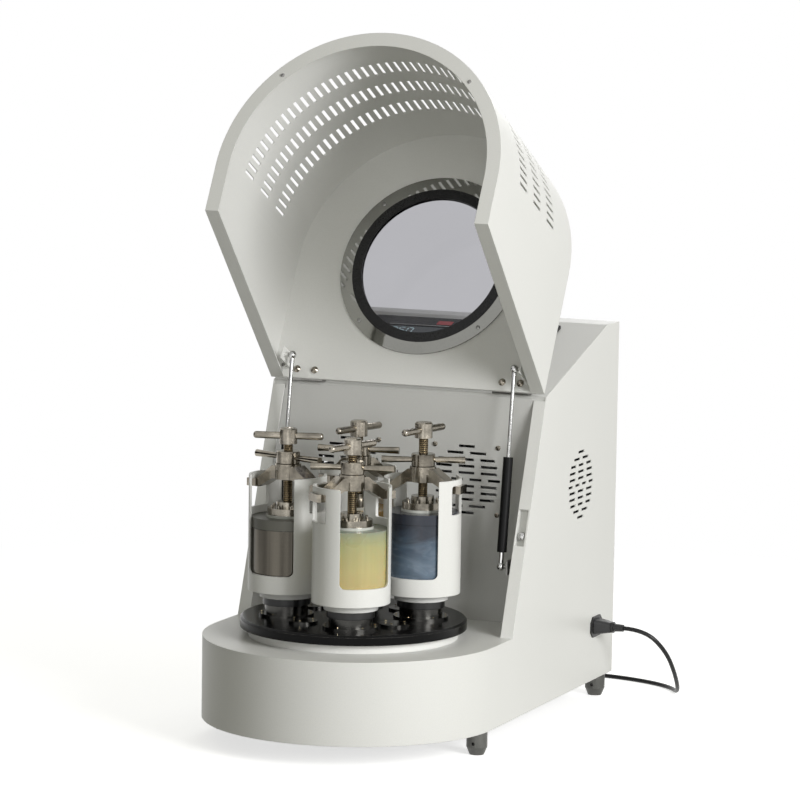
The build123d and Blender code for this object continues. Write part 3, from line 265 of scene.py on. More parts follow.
def threadCut(tree, place, look):
    # A thread round an upright axis: 1 on the shank, the thread's wave, and the wave there alone
    scale = math.tau / look["thread"] / 20  # the texture multiplies its scale by 20
    inputs = {"Vector": place, "Scale": scale, "Distortion": 0}
    wave = addNode(tree, "ShaderNodeTexWave", inputs, bands_direction="Z").outputs["Fac"]
    flat = stretched(tree, place, (1, 1, 0), shift=look["axisShift"])
    fromAxis = vectorMaths(tree, "LENGTH", flat)
    shank = spread(tree, fromAxis, 1, 0, look["shank"], look["shank"] + look["shankFade"])
    return shank, wave, maths(tree, "MULTIPLY", wave, shank)


def plainMetal(look):
    finish, tree, shader, place = newFinish(look["name"])
    grainPlace = stretched(tree, place, look.get("stretch", (1, 1, 1)))
    grain = noiseFac(tree, grainPlace, look["grainScale"], 4)
    cloud = noiseFac(tree, place, look["cloudScale"], 3)
    base = clouded(tree, cloud, look["colour"], look["dark"], 0.65)
    colour = streaked(tree, base, grain, look["streak"])
    normal = bumped(tree, grain, look["bump"], scratchDepth)
    metallic = 1.0
    if "cuff" in look:  # a painted or plastic collar on the same piece
        band = heightBand(tree, place, *look["cuff"])
        colour = blended(tree, band, colour, look["cuffColour"])
        metallic = spread(tree, band, 1, 0, 0, 1)
    if "thread" in look:
        shank, wave, cut = threadCut(tree, place, look)
        normal = bumped(tree, cut, 1.0, look["threadDepth"], normal)
        # The thread's roots are painted dark as the shade that falls in its grooves; the crests keep a brown tone
        colour = blended(tree, shank, colour, blended(tree, wave, look["root"], look["crest"]))
    mottle = maths(tree, "MULTIPLY", grain, cloud)
    inputs = {
        "Base Color": colour,
        "Metallic": metallic,
        "Roughness": spread(tree, mottle, *look["roughness"], 0.1, 0.4),
        "Normal": normal,
    }
    feed(tree, shader, inputs)
    return finish


def coatedTube(look):
    # A black tube whose ball end is bare chrome; both tubes mirror onto one place
    finish, tree, shader, place = newFinish(look["name"])
    grain = noiseFac(tree, place, look["grainScale"], 3)
    mirrored = vectorMaths(tree, "ABSOLUTE", place, output="Vector")
    reach = vectorMaths(tree, "DISTANCE", mirrored, look["ball"])
    coat = spread(tree, reach, 0, 1, look["neck"] - 0.0001, look["neck"] + 0.0001)
    black = clouded(tree, grain, look["colour"], look["dark"])
    rough = mixedValue(tree, coat, look["chromeRough"], spread(tree, grain, *look["roughness"]))
    inputs = {
        "Base Color": blended(tree, coat, look["chrome"], black),
        "Metallic": spread(tree, coat, 1, 0, 0, 1),
        "Roughness": rough,
        "Specular IOR Level": look["specular"],
    }
    feed(tree, shader, inputs)
    return finish


def lidded(tree, place, look, jar):
    # A jar's colour with the lid's tone above the joint, and a dark line where they meet
    lid = heightBand(tree, place, look["joint"], 1.0)
    line = heightBand(tree, place, look["joint"] - 0.0004, look["joint"] + 0.0004)
    return blended(tree, line, blended(tree, lid, jar, look["lid"]), shade(look["lid"], 0.4))


def rubbedEdges(tree, place, rounded, look):
    # 1 where a corner is worn bright, in patches
    flatNormal = addNode(tree, "ShaderNodeNewGeometry").outputs["Normal"]
    turned = vectorMaths(tree, "DOT_PRODUCT", rounded, flatNormal)
    patch = noiseFac(tree, place, look["wornScale"], 4)
    edge = spread(tree, turned, 1, 0, *look["wornTurn"])
    return spread(tree, maths(tree, "MULTIPLY", edge, patch), 0, 0.8, 0.3, 0.6)


def turnedMetal(look):
    # Lathe marks run round an upright axis
    finish, tree, shader, place = newFinish(look["name"])
    centred = stretched(tree, place, (1, 1, 1), shift=(-look["axis"][0], -look["axis"][1], 0))
    flat = vectorMaths(tree, "MULTIPLY", centred, (1, 1, 0), output="Vector")
    across = maths(tree, "ADD", vectorMaths(tree, "LENGTH", flat), heightOf(tree, place))
    ringInputs = {"W": across, "Scale": look["ringScale"], "Detail": 4}
    rings = addNode(tree, "ShaderNodeTexNoise", ringInputs, noise_dimensions="1D").outputs["Fac"]
    cloudPlace = stretched(tree, place, look.get("cloudStretch", (1, 1, 1)))
    cloud = noiseFac(tree, cloudPlace, look["cloudScale"], 3)
    base = clouded(tree, cloud, look["colour"], look["dark"])
    colour = streaked(tree, base, rings, look["streak"])
    rough = spread(tree, rings, *look["roughness"])
    metallic = look["metallic"]
    rounded = addNode(tree, "ShaderNodeBevel", {"Radius": look["edge"]}, samples=4)
    if "worn" in look:
        wear = rubbedEdges(tree, place, rounded.outputs["Normal"], look)
        colour = blended(tree, wear, colour, look["worn"])
    if "joint" in look:
        colour = lidded(tree, place, look, colour)
        lid = heightBand(tree, place, look["joint"], 1.0)
        metallic = spread(tree, lid, 1, look["lidMetallic"], 0, 1)
        rough = mixedValue(tree, lid, rough, look["lidRough"])
    inputs = {
        "Base Color": colour,
        "Metallic": metallic,
        "Roughness": rough,
        "Specular IOR Level": look["specular"],
        "Normal": bumped(tree, rings, look["bump"], scratchDepth, rounded.outputs["Normal"]),
    }
    feed(tree, shader, inputs)
    return finish


def mouldedPlastic(look):
    finish, tree, shader, place = newFinish(look["name"])
    grain = noiseFac(tree, place, look["grainScale"], 3)
    cloud = noiseFac(tree, place, look["cloudScale"], 3)
    inputs = {
        "Base Color": clouded(tree, cloud, look["colour"], look["dark"]),
        "Roughness": spread(tree, grain, *look["roughness"]),
        "Normal": bumped(tree, grain, look["bump"], grainDepth),
        **look.get("shader", {}),
    }
    feed(tree, shader, inputs)
    return finish


def cloudyAgate(look):
    finish, tree, shader, place = newFinish(look["name"])
    drawn = stretched(tree, place, look["cloudStretch"], look["cloudTurn"])
    cloud = noiseFac(tree, drawn, look["cloudScale"], 3, 1.4)
    wispPlace = stretched(tree, place, look["wispStretch"], look["wispTurn"])
    wisp = noiseFac(tree, wispPlace, look["wispScale"], 2, 2.0)
    lifted = maths(tree, "MULTIPLY_ADD", cloud, look["smokeDrift"], heightOf(tree, place))
    smoke = spread(tree, lifted, 0, 0.9, *look["smoke"])
    body = toned(tree, cloud, look["stops"])
    body = blended(tree, spread(tree, wisp, 0, 0.5, *look["wisp"]), body, look["vein"])
    body = blended(tree, smoke, body, look["smoky"])
    inputs = {
        "Base Color": lidded(tree, place, look, body),
        "Roughness": spread(tree, cloud, *look["roughness"]),
        "Normal": bumped(tree, cloud, look["bump"], grainDepth),
        **look["shader"],
    }
    feed(tree, shader, inputs)
    return finish


def castNylon(look):
    finish, tree, shader, place = newFinish(look["name"])
    cloud = noiseFac(tree, place, look["cloudScale"], 3)
    streak = noiseFac(tree, stretched(tree, place, look["stretch"]), look["grainScale"], 3)
    lifted = maths(tree, "MULTIPLY_ADD", cloud, look["drift"], heightOf(tree, place))
    body = toned(tree, spread(tree, lifted, 0, 1, *look["fade"]), look["stops"])
    body = blended(tree, 1.0, body, toned(tree, streak, look["streakStops"]), "MULTIPLY")
    line = heightBand(tree, place, look["joint"] - 0.0003, look["joint"] + 0.0003)
    inputs = {
        "Base Color": blended(tree, line, body, look["jointColour"]),
        "Roughness": spread(tree, cloud, *look["roughness"]),
        **look["shader"],
    }
    feed(tree, shader, inputs)
    return finish


def smokedPane(look):
    finish, tree, shader, place = newFinish(look["name"])
    smear = noiseFac(tree, place, look["smearScale"], 3, 0.6)
    inputs = {
        "Base Color": clouded(tree, smear, look["colour"], 0.97),
        "Roughness": spread(tree, smear, *look["roughness"]),
        "Transmission Weight": 1.0,
        "IOR": look["ior"],
    }
    feed(tree, shader, inputs)
    return finish


def printedInk(name, colour, glow=0.0):
    finish, tree, shader, place = newFinish(name)
    fleck = noiseFac(tree, place, 800, 2)
    ink = clouded(tree, fleck, colour, 0.9)
    feed(tree, shader, {"Base Color": ink, "Roughness": spread(tree, fleck, 0.35, 0.5)})
    if glow:
        feed(tree, shader, {"Emission Color": ink, "Emission Strength": glow})
    return finish


# Finishes
coatLook = {
    "make": powderCoat,
    "name": "whitePowderCoat",
    "colour": (0.80, 0.80, 0.78),
    "driftScale": 2.5,
    "speckScale": 900,
    "speckStops": [(0.35, (0.965, 0.965, 0.96)), (0.6, (1, 1, 1))],
    "peelScale": 480,
    "peel": 0.10,
    "peelDepth": 0.0003,
    "roughness": (0.34, 0.44),
    "bend": 0.0012,
}
steelLook = {
    "make": plainMetal,
    "name": "brightSteel",
    "colour": (0.34, 0.335, 0.32),
    "dark": 0.78,
    "streak": 0.8,
    "stretch": (1, 1, 6),
    "grainScale": 500,
    "cloudScale": 25,
    "roughness": (0.24, 0.40),
    "bump": 0.12,
}
chromeLook = {
    "make": plainMetal,
    "name": "polishedChrome",
    "colour": (0.50, 0.50, 0.49),
    "dark": 0.92,
    "streak": 0.95,
    "grainScale": 300,
    "cloudScale": 12,
    "roughness": (0.04, 0.09),
    "bump": 0.01,
}
clampLook = {
    "colour": (0.37, 0.34, 0.285),
    "dark": 0.48,
    "streak": 0.88,
    "grainScale": 300,
    "cloudScale": 40,
    "roughness": (0.14, 0.28),
    "bump": 0.1,
}
finishLooks = {
    "white_paint": coatLook,
    "grey_paint": {
        **coatLook,
        "name": "greyPowderCoat",
        "colour": (0.66, 0.66, 0.645),
        "driftScale": 3.0,
        "peel": 0.12,
        "roughness": (0.38, 0.48),
        "bend": 0.001,
    },
    "holderCoat": {
        **coatLook,
        "name": "holderPowderCoat",
        "colour": (0.82, 0.82, 0.80),
        "driftScale": 6,
        "roughness": (0.30, 0.40),
        "bend": 0.0015,
        "bands": [
            (0.0, 0.2205, (0.003, 0.003, 0.003)),
            (0.2205, 0.2311, (0.74, 0.74, 0.73)),
        ],
    },
    "black_steel": {
        "make": turnedMetal,
        "name": "blackenedSteel",
        "colour": (0.004, 0.004, 0.004),
        "dark": 0.55,
        "streak": 0.75,
        "axis": turntable[:2],
        "ringScale": 900,
        "cloudScale": 14,
        "roughness": (0.14, 0.24),
        "metallic": 0.0,
        "specular": 0.11,
        "bump": 0.2,
        "edge": 0.0012,
        "worn": (0.16, 0.155, 0.14),
        "wornScale": 120,
        "wornTurn": (0.90, 0.995),
    },
    "stainless": {
        "make": turnedMetal,
        "name": "brushedStainless",
        "colour": (0.20, 0.182, 0.150),
        "dark": 0.14,
        "streak": 0.85,
        "axis": stationPlaces["left"][:2],
        "ringScale": 1500,
        "cloudScale": 48,
        "cloudStretch": (1, 1, 0.02),
        "joint": jarJoint,
        "lid": (0.112, 0.110, 0.092),
        "lidMetallic": 0.3,
        "lidRough": 0.42,
        "roughness": (0.15, 0.24),
        "metallic": 1.0,
        "specular": 0.5,
        "bump": 0.2,
        "edge": 0.0008,
    },
    "steel": steelLook,
    "lidHardware": {
        **steelLook,
        "name": "paintedBracket",
        "cuff": (0.536, 0.640),  # the struts' brackets, above the hinges
        "cuffColour": (0.78, 0.78, 0.76),
    },
    "capSteel": {
        **steelLook,
        "name": "blackCapSteel",
        "colour": (0.10, 0.098, 0.092),
        "dark": 0.45,
        "streak": 0.6,
        "stretch": (1, 1, 8),
        "roughness": (0.14, 0.26),
    },
    "turnedSteel": {
        **steelLook,
        "name": "darkTurnedSteel",
        "colour": (0.13, 0.13, 0.122),
        "dark": 0.65,
        "streak": 0.75,
        "stretch": (1, 1, 8),
        "roughness": (0.26, 0.42),
        "bump": 0.15,
    },
    "gear_steel": {
        "make": plainMetal,
        "name": "hobbedSteel",
        "colour": (0.36, 0.355, 0.345),
        "dark": 0.75,
        "streak": 0.7,
        "stretch": (1, 1, 0.15),
        "grainScale": 700,
        "cloudScale": 20,
        "roughness": (0.26, 0.42),
        "bump": 0.3,
    },
    "cast": {
        "make": plainMetal,
        "name": "castAluminium",
        "colour": (0.46, 0.46, 0.46),
        "dark": 0.8,
        "streak": 0.8,
        "grainScale": 380,
        "cloudScale": 12,
        "roughness": (0.42, 0.6),
        "bump": 0.4,
    },
    "nickel": {
        "make": plainMetal,
        "name": "nickelPlate",
        "colour": (0.37, 0.335, 0.275),
        "dark": 0.42,
        "streak": 0.85,
        "grainScale": 260,
        "cloudScale": 36,
        "roughness": (0.08, 0.20),
        "bump": 0.14,
    },
    "chrome": chromeLook,
    "ringSteel": {
        **chromeLook,
        "name": "mirrorSteel",
        "colour": (0.27, 0.27, 0.25),
        "dark": 0.9,
        "cloudScale": 9,
        "roughness": (0.02, 0.06),
        "bump": 0.005,
    },
    "brassTone": {
        "make": plainMetal,
        "name": "plainBrass",
        "colour": (0.82, 0.72, 0.50),
        "dark": 0.7,
        "streak": 0.85,
        "grainScale": 300,
        "cloudScale": 60,
        "roughness": (0.10, 0.20),
        "bump": 0.05,
    },
    "strutTube": {
        "make": coatedTube,
        "name": "coatedTube",
        "colour": (0.007, 0.007, 0.0072),
        "dark": 0.7,
        "grainScale": 700,
        "roughness": (0.34, 0.46),
        "specular": 0.12,
        "ball": [abs(share) for share in pinOf("strut_pivot_left")],
        "neck": 0.0219,
        "chrome": chromeLook["colour"],
        "chromeRough": 0.09,
    },
    "black_plastic": {
        "make": mouldedPlastic,
        "name": "blackMoulding",
        "colour": (0.014, 0.014, 0.015),
        "dark": 0.75,
        "grainScale": 1100,
        "cloudScale": 40,
        "roughness": (0.34, 0.50),
        "bump": 0.25,
    },
    "black_rubber": {
        "make": mouldedPlastic,
        "name": "blackRubber",
        "colour": (0.010, 0.010, 0.0105),
        "dark": 0.7,
        "grainScale": 700,
        "cloudScale": 30,
        "roughness": (0.22, 0.38),
        "bump": 0.12,
        "shader": {"Specular IOR Level": 0.28},
    },
    "fascia": {
        "make": mouldedPlastic,
        "name": "glossFascia",
        "colour": (0.010, 0.010, 0.011),
        "dark": 0.8,
        "grainScale": 60,
        "cloudScale": 12,
        "roughness": (0.10, 0.20),
        "bump": 0.01,
        "shader": {"Specular IOR Level": 0.14},
    },
    "tan_ceramic": {
        "make": mouldedPlastic,
        "name": "tanCeramic",
        "colour": (0.66, 0.45, 0.19),
        "dark": 0.86,
        "grainScale": 300,
        "cloudScale": 22,
        "roughness": (0.14, 0.24),
        "bump": 0.03,
        "shader": {"Subsurface Weight": 0.2, "Subsurface Scale": 0.004},
    },
    "nylon": {
        "make": castNylon,
        "name": "creamNylon",
        "cloudScale": 18,
        "drift": 0.012,
        "fade": (0.252, 0.352),
        "stops": [
            (0.0, (0.55, 0.43, 0.19)),
            (0.4, (0.54, 0.47, 0.21)),
            (0.76, (0.45, 0.43, 0.20)),
            (0.93, (0.33, 0.35, 0.215)),
            (1.0, (0.24, 0.28, 0.25)),
        ],
        "stretch": (1, 1, 0.06),
        "grainScale": 160,
        "streakStops": [(0.3, (0.94, 0.94, 0.93)), (0.7, (1, 1, 1))],
        "joint": jarJoint,
        "jointColour": shade((0.45, 0.43, 0.20), 0.85),
        "roughness": (0.24, 0.36),
        "shader": {"Subsurface Weight": 0.3, "Subsurface Scale": 0.006},
    },
    "agate": {
        "make": cloudyAgate,
        "name": "greyAgate",
        "cloudScale": 12,
        "cloudStretch": (1, 1, 1.7),
        "cloudTurn": (0.5, 0.3, 0),
        "stops": [
            (0.30, (0.055, 0.080, 0.120)),
            (0.50, (0.085, 0.125, 0.175)),
            (0.70, (0.13, 0.18, 0.24)),
        ],
        "smokeDrift": 0.07,
        "smoke": (0.342, 0.362),
        "smoky": (0.020, 0.023, 0.034),
        "wispScale": 17,
        "wispStretch": (1, 1, 2.6),
        "wispTurn": (0.4, -0.5, 0),
        "wisp": (0.50, 0.74),
        "vein": (0.19, 0.24, 0.30),
        "joint": jarJoint + tallJarRise,
        "lid": (0.028, 0.033, 0.048),
        "roughness": (0.16, 0.28),
        "bump": 0.05,
        "shader": {"Subsurface Weight": 0.10, "Subsurface Scale": 0.004},
    },
    "pane": {
        "make": smokedPane,
        "name": "smokedPane",
        "colour": (0.47, 0.47, 0.495),
        "smearScale": 6,
        "roughness": (0.0, 0.02),
        "ior": 1.2,
    },
}
finishes = {key: look["make"](look) for key, look in finishLooks.items()}


def clampFinishes(station, rise):
    # The pad's plastic collar is at its own height, and the screw's thread round its own axis
    centre = stationPlaces[station]
    padLook = {
        **clampLook,
        "name": station + "Pad",
        "cuff": (0.3432 + rise, 0.3472 + rise),
        "cuffColour": (0.56, 0.57, 0.53),
    }
    screwLook = {
        **clampLook,
        "name": station + "Screw",
        "colour": (0.40, 0.365, 0.305),
        "thread": 0.003,
        "threadDepth": 0.0012,
        "axisShift": (-centre.x, -centre.y, 0),
        "shank": 0.0073,
        "shankFade": 0.0004,
        # The thread's crest tone, then its roots painted dark as shade in the grooves
        "crest": (0.42, 0.33, 0.20),
        "root": (0.14, 0.11, 0.07),
    }
    return {
        "clamp_pad_" + station: plainMetal(padLook),
        "clamp_screw_" + station: plainMetal(screwLook),
    }


ownFinishes = {
    "levelling_feet": finishes["turnedSteel"],
    "bearing_caps": finishes["capSteel"],
    "lid_ring": finishes["ringSteel"],
    "lid_hardware": finishes["lidHardware"],
    "strut_tube_left": finishes["strutTube"],
    "strut_tube_right": finishes["strutTube"],
}
for station in stationNames:
    ownFinishes["jar_holder_" + station] = finishes["holderCoat"]
    ownFinishes.update(clampFinishes(station, tallJarRise if station == "right" else 0))
for part in frame["record"]["subparts"]:
    mesh = nodes[part["node"]].data
    mesh.materials.clear()
    mesh.materials.append(ownFinishes.get(part["node"]) or finishes[part["material_slot"]])
print("gave", len(finishes) + 2 * len(stationNames), "finishes to the nodes")


# Mains lead
leadRoute = [
    (0.2778, 0.2985, 0.123),
    (0.3138, 0.2985, 0.123),
    (0.344, 0.318, 0.088),
    (0.349, 0.354, 0.042),
    (0.338, 0.402, 0.005),
    (0.306, 0.452, 0.0038),
    (0.240, 0.484, 0.0038),
    (0.163, 0.496, 0.0038),
    (0.078, 0.490, 0.0038),
]
leadEnd = [(0.070, 0.4060, 0.0108), (0.0790, 0.4060, 0.0108)]
coilSettings = {
    "centre": (0.062, 0.448),
    "outer": 0.042,
    "inner": 0.035,
    "lower": 0.0038,
    "upper": 0.0108,
    "start": 101.0,  # degrees, as the next four
    "finish": 1350.0,
    "inward": (360, 422),
    "upward": (660, 722),
    "outward": (990, 1040),
    "pointsPerTurn": 16,
    "radius": 0.0035,
}
tieSettings = {"angle": 172, "width": 0.009, "half": (0.0078, 0.0072), "growth": 0.000225}


def eased(value, start, stop):
    t = min(1, max(0, (value - start) / (stop - start)))
    return t * t * (3 - 2 * t)


def coilPoints(look):
    # Out to in on the floor, up, and back out on top
    step = 360 / look["pointsPerTurn"]
    count = round((look["finish"] - look["start"]) / step)
    pull = math.cos(math.radians(step / 2))
    points = []
    for index in range(count + 1):
        angle = look["start"] + (look["finish"] - look["start"]) * index / count
        inward = eased(angle, *look["inward"]) - eased(angle, *look["outward"])
        radius = look["outer"] + (look["inner"] - look["outer"]) * inward
        turn = math.radians(angle)
        x = look["centre"][0] + radius / pull * math.cos(turn)
        y = look["centre"][1] + radius / pull * math.sin(turn)
        z = look["lower"] + (look["upper"] - look["lower"]) * eased(angle, *look["upward"])
        points.append((x, y, z))
    return points


def makeLead(route, look):
    data = bpy.data.curves.new("mainsLead", "CURVE")
    data.dimensions = "3D"
    data.bevel_depth = look["radius"]
    data.bevel_resolution = 5
    data.resolution_u = 8
    data.use_fill_caps = True
    spline = data.splines.new("NURBS")
    spline.points.add(len(route) - 1)
    for point, place in zip(spline.points, route):
        point.co = (*place, 1)
    spline.order_u = 3
    spline.use_endpoint_u = True
    data.materials.append(finishes["black_rubber"])
    return linked("mainsLead", data)


def makeTie(look, coil):
    # A strap round the four strands, drawn in the coil's radial plane
    turn = math.radians(look["angle"])
    outward = Vector((math.cos(turn), math.sin(turn), 0))
    along = Vector((-math.sin(turn), math.cos(turn), 0))
    middle = Vector((*coil["centre"], 0)) + outward * (coil["outer"] + coil["inner"]) / 2
    middle.z = (coil["lower"] + coil["upper"]) / 2
    corner = coil["radius"] + 0.0001
    grown = 1 + look["growth"] / corner
    loop = roundedOutline(0, 0, 2 * look["half"][0], 2 * look["half"][1], corner, 6)
    bm = bmesh.new()
    rows = []
    for side, scale in ((-1, 1), (-1, grown), (1, grown), (1, 1)):
        row = []
        for across, up in loop:
            place = middle + outward * across * scale + along * side * look["width"] / 2
            place.z = max(place.z + up * scale, 0.0002)
            row.append(bm.verts.new(place))
        rows.append(row)
    joinRows(bm, rows)
    bmesh.ops.recalc_face_normals(bm, faces=bm.faces)
    return pieceFrom("coilTie", bm, finishes["black_rubber"])


coilTie = makeTie(tieSettings, coilSettings)
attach(coilTie, "cabinet")
mainsLead = makeLead(leadRoute + coilPoints(coilSettings) + leadEnd, coilSettings)
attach(mainsLead, "cabinet")
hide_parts("cord_lead", "cord_coil")
print("laid the mains lead")


# Screws
headInputs = {
    "Head Radius": "radius",
    "Edge Height": "edge",
    "Crown": "crown",
    "Recess Radius": "recessRadius",
    "Recess Depth": "recessDepth",
}


def addHead(tree, given):
    # A disc with a crowned top, whose underside sits on the surface
    inputs = {
        "Vertices": 20,
        "Side Segments": 1,
        "Fill Segments": 4,
        "Radius": given["Head Radius"],
        "Depth": given["Edge Height"],
    }
    disc = addNode(tree, "GeometryNodeMeshCylinder", inputs).outputs["Mesh"]
    spot = addNode(tree, "GeometryNodeInputPosition").outputs["Position"]
    apart = addNode(tree, "ShaderNodeSeparateXYZ", {"Vector": spot}).outputs
    flat = addNode(tree, "ShaderNodeCombineXYZ", {"X": apart["X"], "Y": apart["Y"]}).outputs[0]
    share = maths(tree, "DIVIDE", vectorMaths(tree, "LENGTH", flat), given["Head Radius"])
    fall = maths(tree, "SUBTRACT", 1.0, maths(tree, "POWER", share, 2.0))
    topSide = maths(tree, "GREATER_THAN", apart["Z"], 0.0)
    crown = maths(tree, "MULTIPLY", maths(tree, "MULTIPLY", fall, given["Crown"]), topSide)
    lift = maths(tree, "ADD", crown, maths(tree, "MULTIPLY", given["Edge Height"], 0.5))
    offset = addNode(tree, "ShaderNodeCombineXYZ", {"Z": lift}).outputs[0]
    inputs = {"Geometry": disc, "Offset": offset}
    return addNode(tree, "GeometryNodeSetPosition", inputs).outputs["Geometry"]


def addCutters(tree, given, recess):
    depth = maths(tree, "MULTIPLY", given["Recess Depth"], 2.0)
    if recess == "hex":
        inputs = {"Vertices": 6, "Radius": given["Recess Radius"], "Depth": depth}
        return [addNode(tree, "GeometryNodeMeshCylinder", inputs).outputs["Mesh"]]
    cutters = []
    if recess == "cross":
        wide = maths(tree, "MULTIPLY", given["Recess Radius"], 2.0)
        narrow = maths(tree, "MULTIPLY", given["Recess Radius"], 0.5)
        for x, y in ((wide, narrow), (narrow, wide)):
            size = addNode(tree, "ShaderNodeCombineXYZ", {"X": x, "Y": y, "Z": depth}).outputs[0]
            cutters.append(addNode(tree, "GeometryNodeMeshCube", {"Size": size}).outputs["Mesh"])
    return cutters


def addFacing(tree):
    # The head looks along its point's facing, turned about it at random
    facing = addNode(
        tree, "GeometryNodeInputNamedAttribute", {"Name": "facing"}, data_type="FLOAT_VECTOR"
    ).outputs["Attribute"]
    upright = addNode(
        tree, "FunctionNodeAlignRotationToVector", {"Vector": facing}, axis="Z"
    ).outputs["Rotation"]
    inputs = {"Max": 6.283, "Seed": 7}
    anyTurn = addNode(tree, "FunctionNodeRandomValue", inputs, data_type="FLOAT").outputs[1]
    inputs = {"Axis": (0, 0, 1), "Angle": anyTurn}
    spin = addNode(tree, "FunctionNodeAxisAngleToRotation", inputs).outputs["Rotation"]
    inputs = {"Rotation": upright, "Rotate By": spin}
    turned = addNode(tree, "FunctionNodeRotateRotation", inputs, rotation_space="LOCAL")
    return turned.outputs["Rotation"]


def makeHeadTree(name, recess):
    tree = bpy.data.node_groups.new(name, "GeometryNodeTree")
    sockets = tree.interface
    sockets.new_socket("Geometry", in_out="INPUT", socket_type="NodeSocketGeometry")
    for label in headInputs:
        sockets.new_socket(label, in_out="INPUT", socket_type="NodeSocketFloat")
    sockets.new_socket("Finish", in_out="INPUT", socket_type="NodeSocketMaterial")
    sockets.new_socket("Geometry", in_out="OUTPUT", socket_type="NodeSocketGeometry")
    given = addNode(tree, "NodeGroupInput").outputs
    head = addHead(tree, given)
    top = maths(tree, "ADD", given["Edge Height"], given["Crown"])
    place = addNode(tree, "ShaderNodeCombineXYZ", {"Z": top}).outputs[0]
    for cutter in addCutters(tree, given, recess):
        inputs = {"Geometry": cutter, "Translation": place}
        moved = addNode(tree, "GeometryNodeTransform", inputs).outputs["Geometry"]
        inputs = {"Mesh 1": head, "Mesh 2": moved}
        cut = addNode(tree, "GeometryNodeMeshBoolean", inputs, operation="DIFFERENCE")
        head = cut.outputs["Mesh"]
    inputs = {"Points": given["Geometry"], "Instance": head, "Rotation": addFacing(tree)}
    placed = addNode(tree, "GeometryNodeInstanceOnPoints", inputs).outputs["Instances"]
    real = addNode(tree, "GeometryNodeRealizeInstances", {"Geometry": placed}).outputs["Geometry"]
    inputs = {"Geometry": real, "Material": given["Finish"]}
    dressed = addNode(tree, "GeometryNodeSetMaterial", inputs).outputs["Geometry"]
    addNode(tree, "NodeGroupOutput", {"Geometry": dressed})
    return tree


headTrees = {recess: makeHeadTree(recess + "Heads", recess) for recess in ("cross", "hex", "plain")}


def realised(piece, tree, values):
    modifier = piece.modifiers.new("made", "NODES")
    modifier.node_group = tree
    for item in tree.interface.items_tree:
        if item.in_out == "INPUT" and item.name in values:
            modifier[item.identifier] = values[item.name]
    depsgraph = bpy.context.evaluated_depsgraph_get()
    made = bpy.data.meshes.new_from_object(piece.evaluated_get(depsgraph))
    piece.modifiers.clear()
    piece.data = made


def makeHeads(name, look):
    mesh = bpy.data.meshes.new(name)
    mesh.from_pydata([place for place, facing in look["places"]], [], [])
    mesh.attributes.new("facing", "FLOAT_VECTOR", "POINT")
    for entry, (place, facing) in zip(mesh.attributes["facing"].data, look["places"]):
        entry.vector = facing
    piece = linked(name, mesh)
    values = {label: look[key] for label, key in headInputs.items() if key in look}
    values["Finish"] = finishes[look.get("tone", look["finish"])]
    realised(piece, headTrees[look["recess"]], values)
    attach(piece, look["body"])


def onLid(x, y, z, facing):
    return lidTurn @ Vector((x, y, z)), lidTurn.to_3x3() @ Vector(facing)


def onSlope(x, along, above):
    return slopeFrame @ Vector((x, along, above)), slopeFrame.to_3x3() @ Vector((0, 0, 1))


def around(centre, radius, degrees):
    turn = math.radians(degrees)
    return centre.x + radius * math.cos(turn), centre.y + radius * math.sin(turn)


def circlesOf(centres, radius, height, first, count):
    angles = [first + 360 * index / count for index in range(count)]
    return [
        (Vector((*around(centre, radius, angle), height)), Vector((0, 0, 1)))
        for centre in centres
        for angle in angles
    ]


down = (0, 0, -1)
sides = (-1, 1)
hoodCeiling = 0.515  # of the shut hood
hingeX = [side * 0.173 + shift for side in sides for shift in (-0.015, 0.015)]
fanX, fanHeight, fanHole = 0.1, 0.3825, 0.0525
wallFace = 0.0525
rearFace = 0.3805
inletPlace = Vector((0.2325, 0.2985, 0.123))
sheetScrew = {
    "radius": 0.0032,
    "edge": 0.0009,
    "crown": 0.0011,
    "recess": "cross",
    "recessRadius": 0.0017,
    "recessDepth": 0.0009,
    "finish": "steel",
    "body": "lid",
}
leafScrew = {
    **sheetScrew,
    "radius": 0.0042,
    "edge": 0.0010,
    "crown": 0.0012,
    "recessRadius": 0.0022,
    "recessDepth": 0.0011,
}
socketScrew = {
    "radius": 0.0030,
    "edge": 0.0016,
    "crown": 0.0004,
    "recess": "hex",
    "recessRadius": 0.0015,
    "recessDepth": 0.0010,
    "finish": "steel",
    "tone": "brassTone",
    "body": "carrier",
}
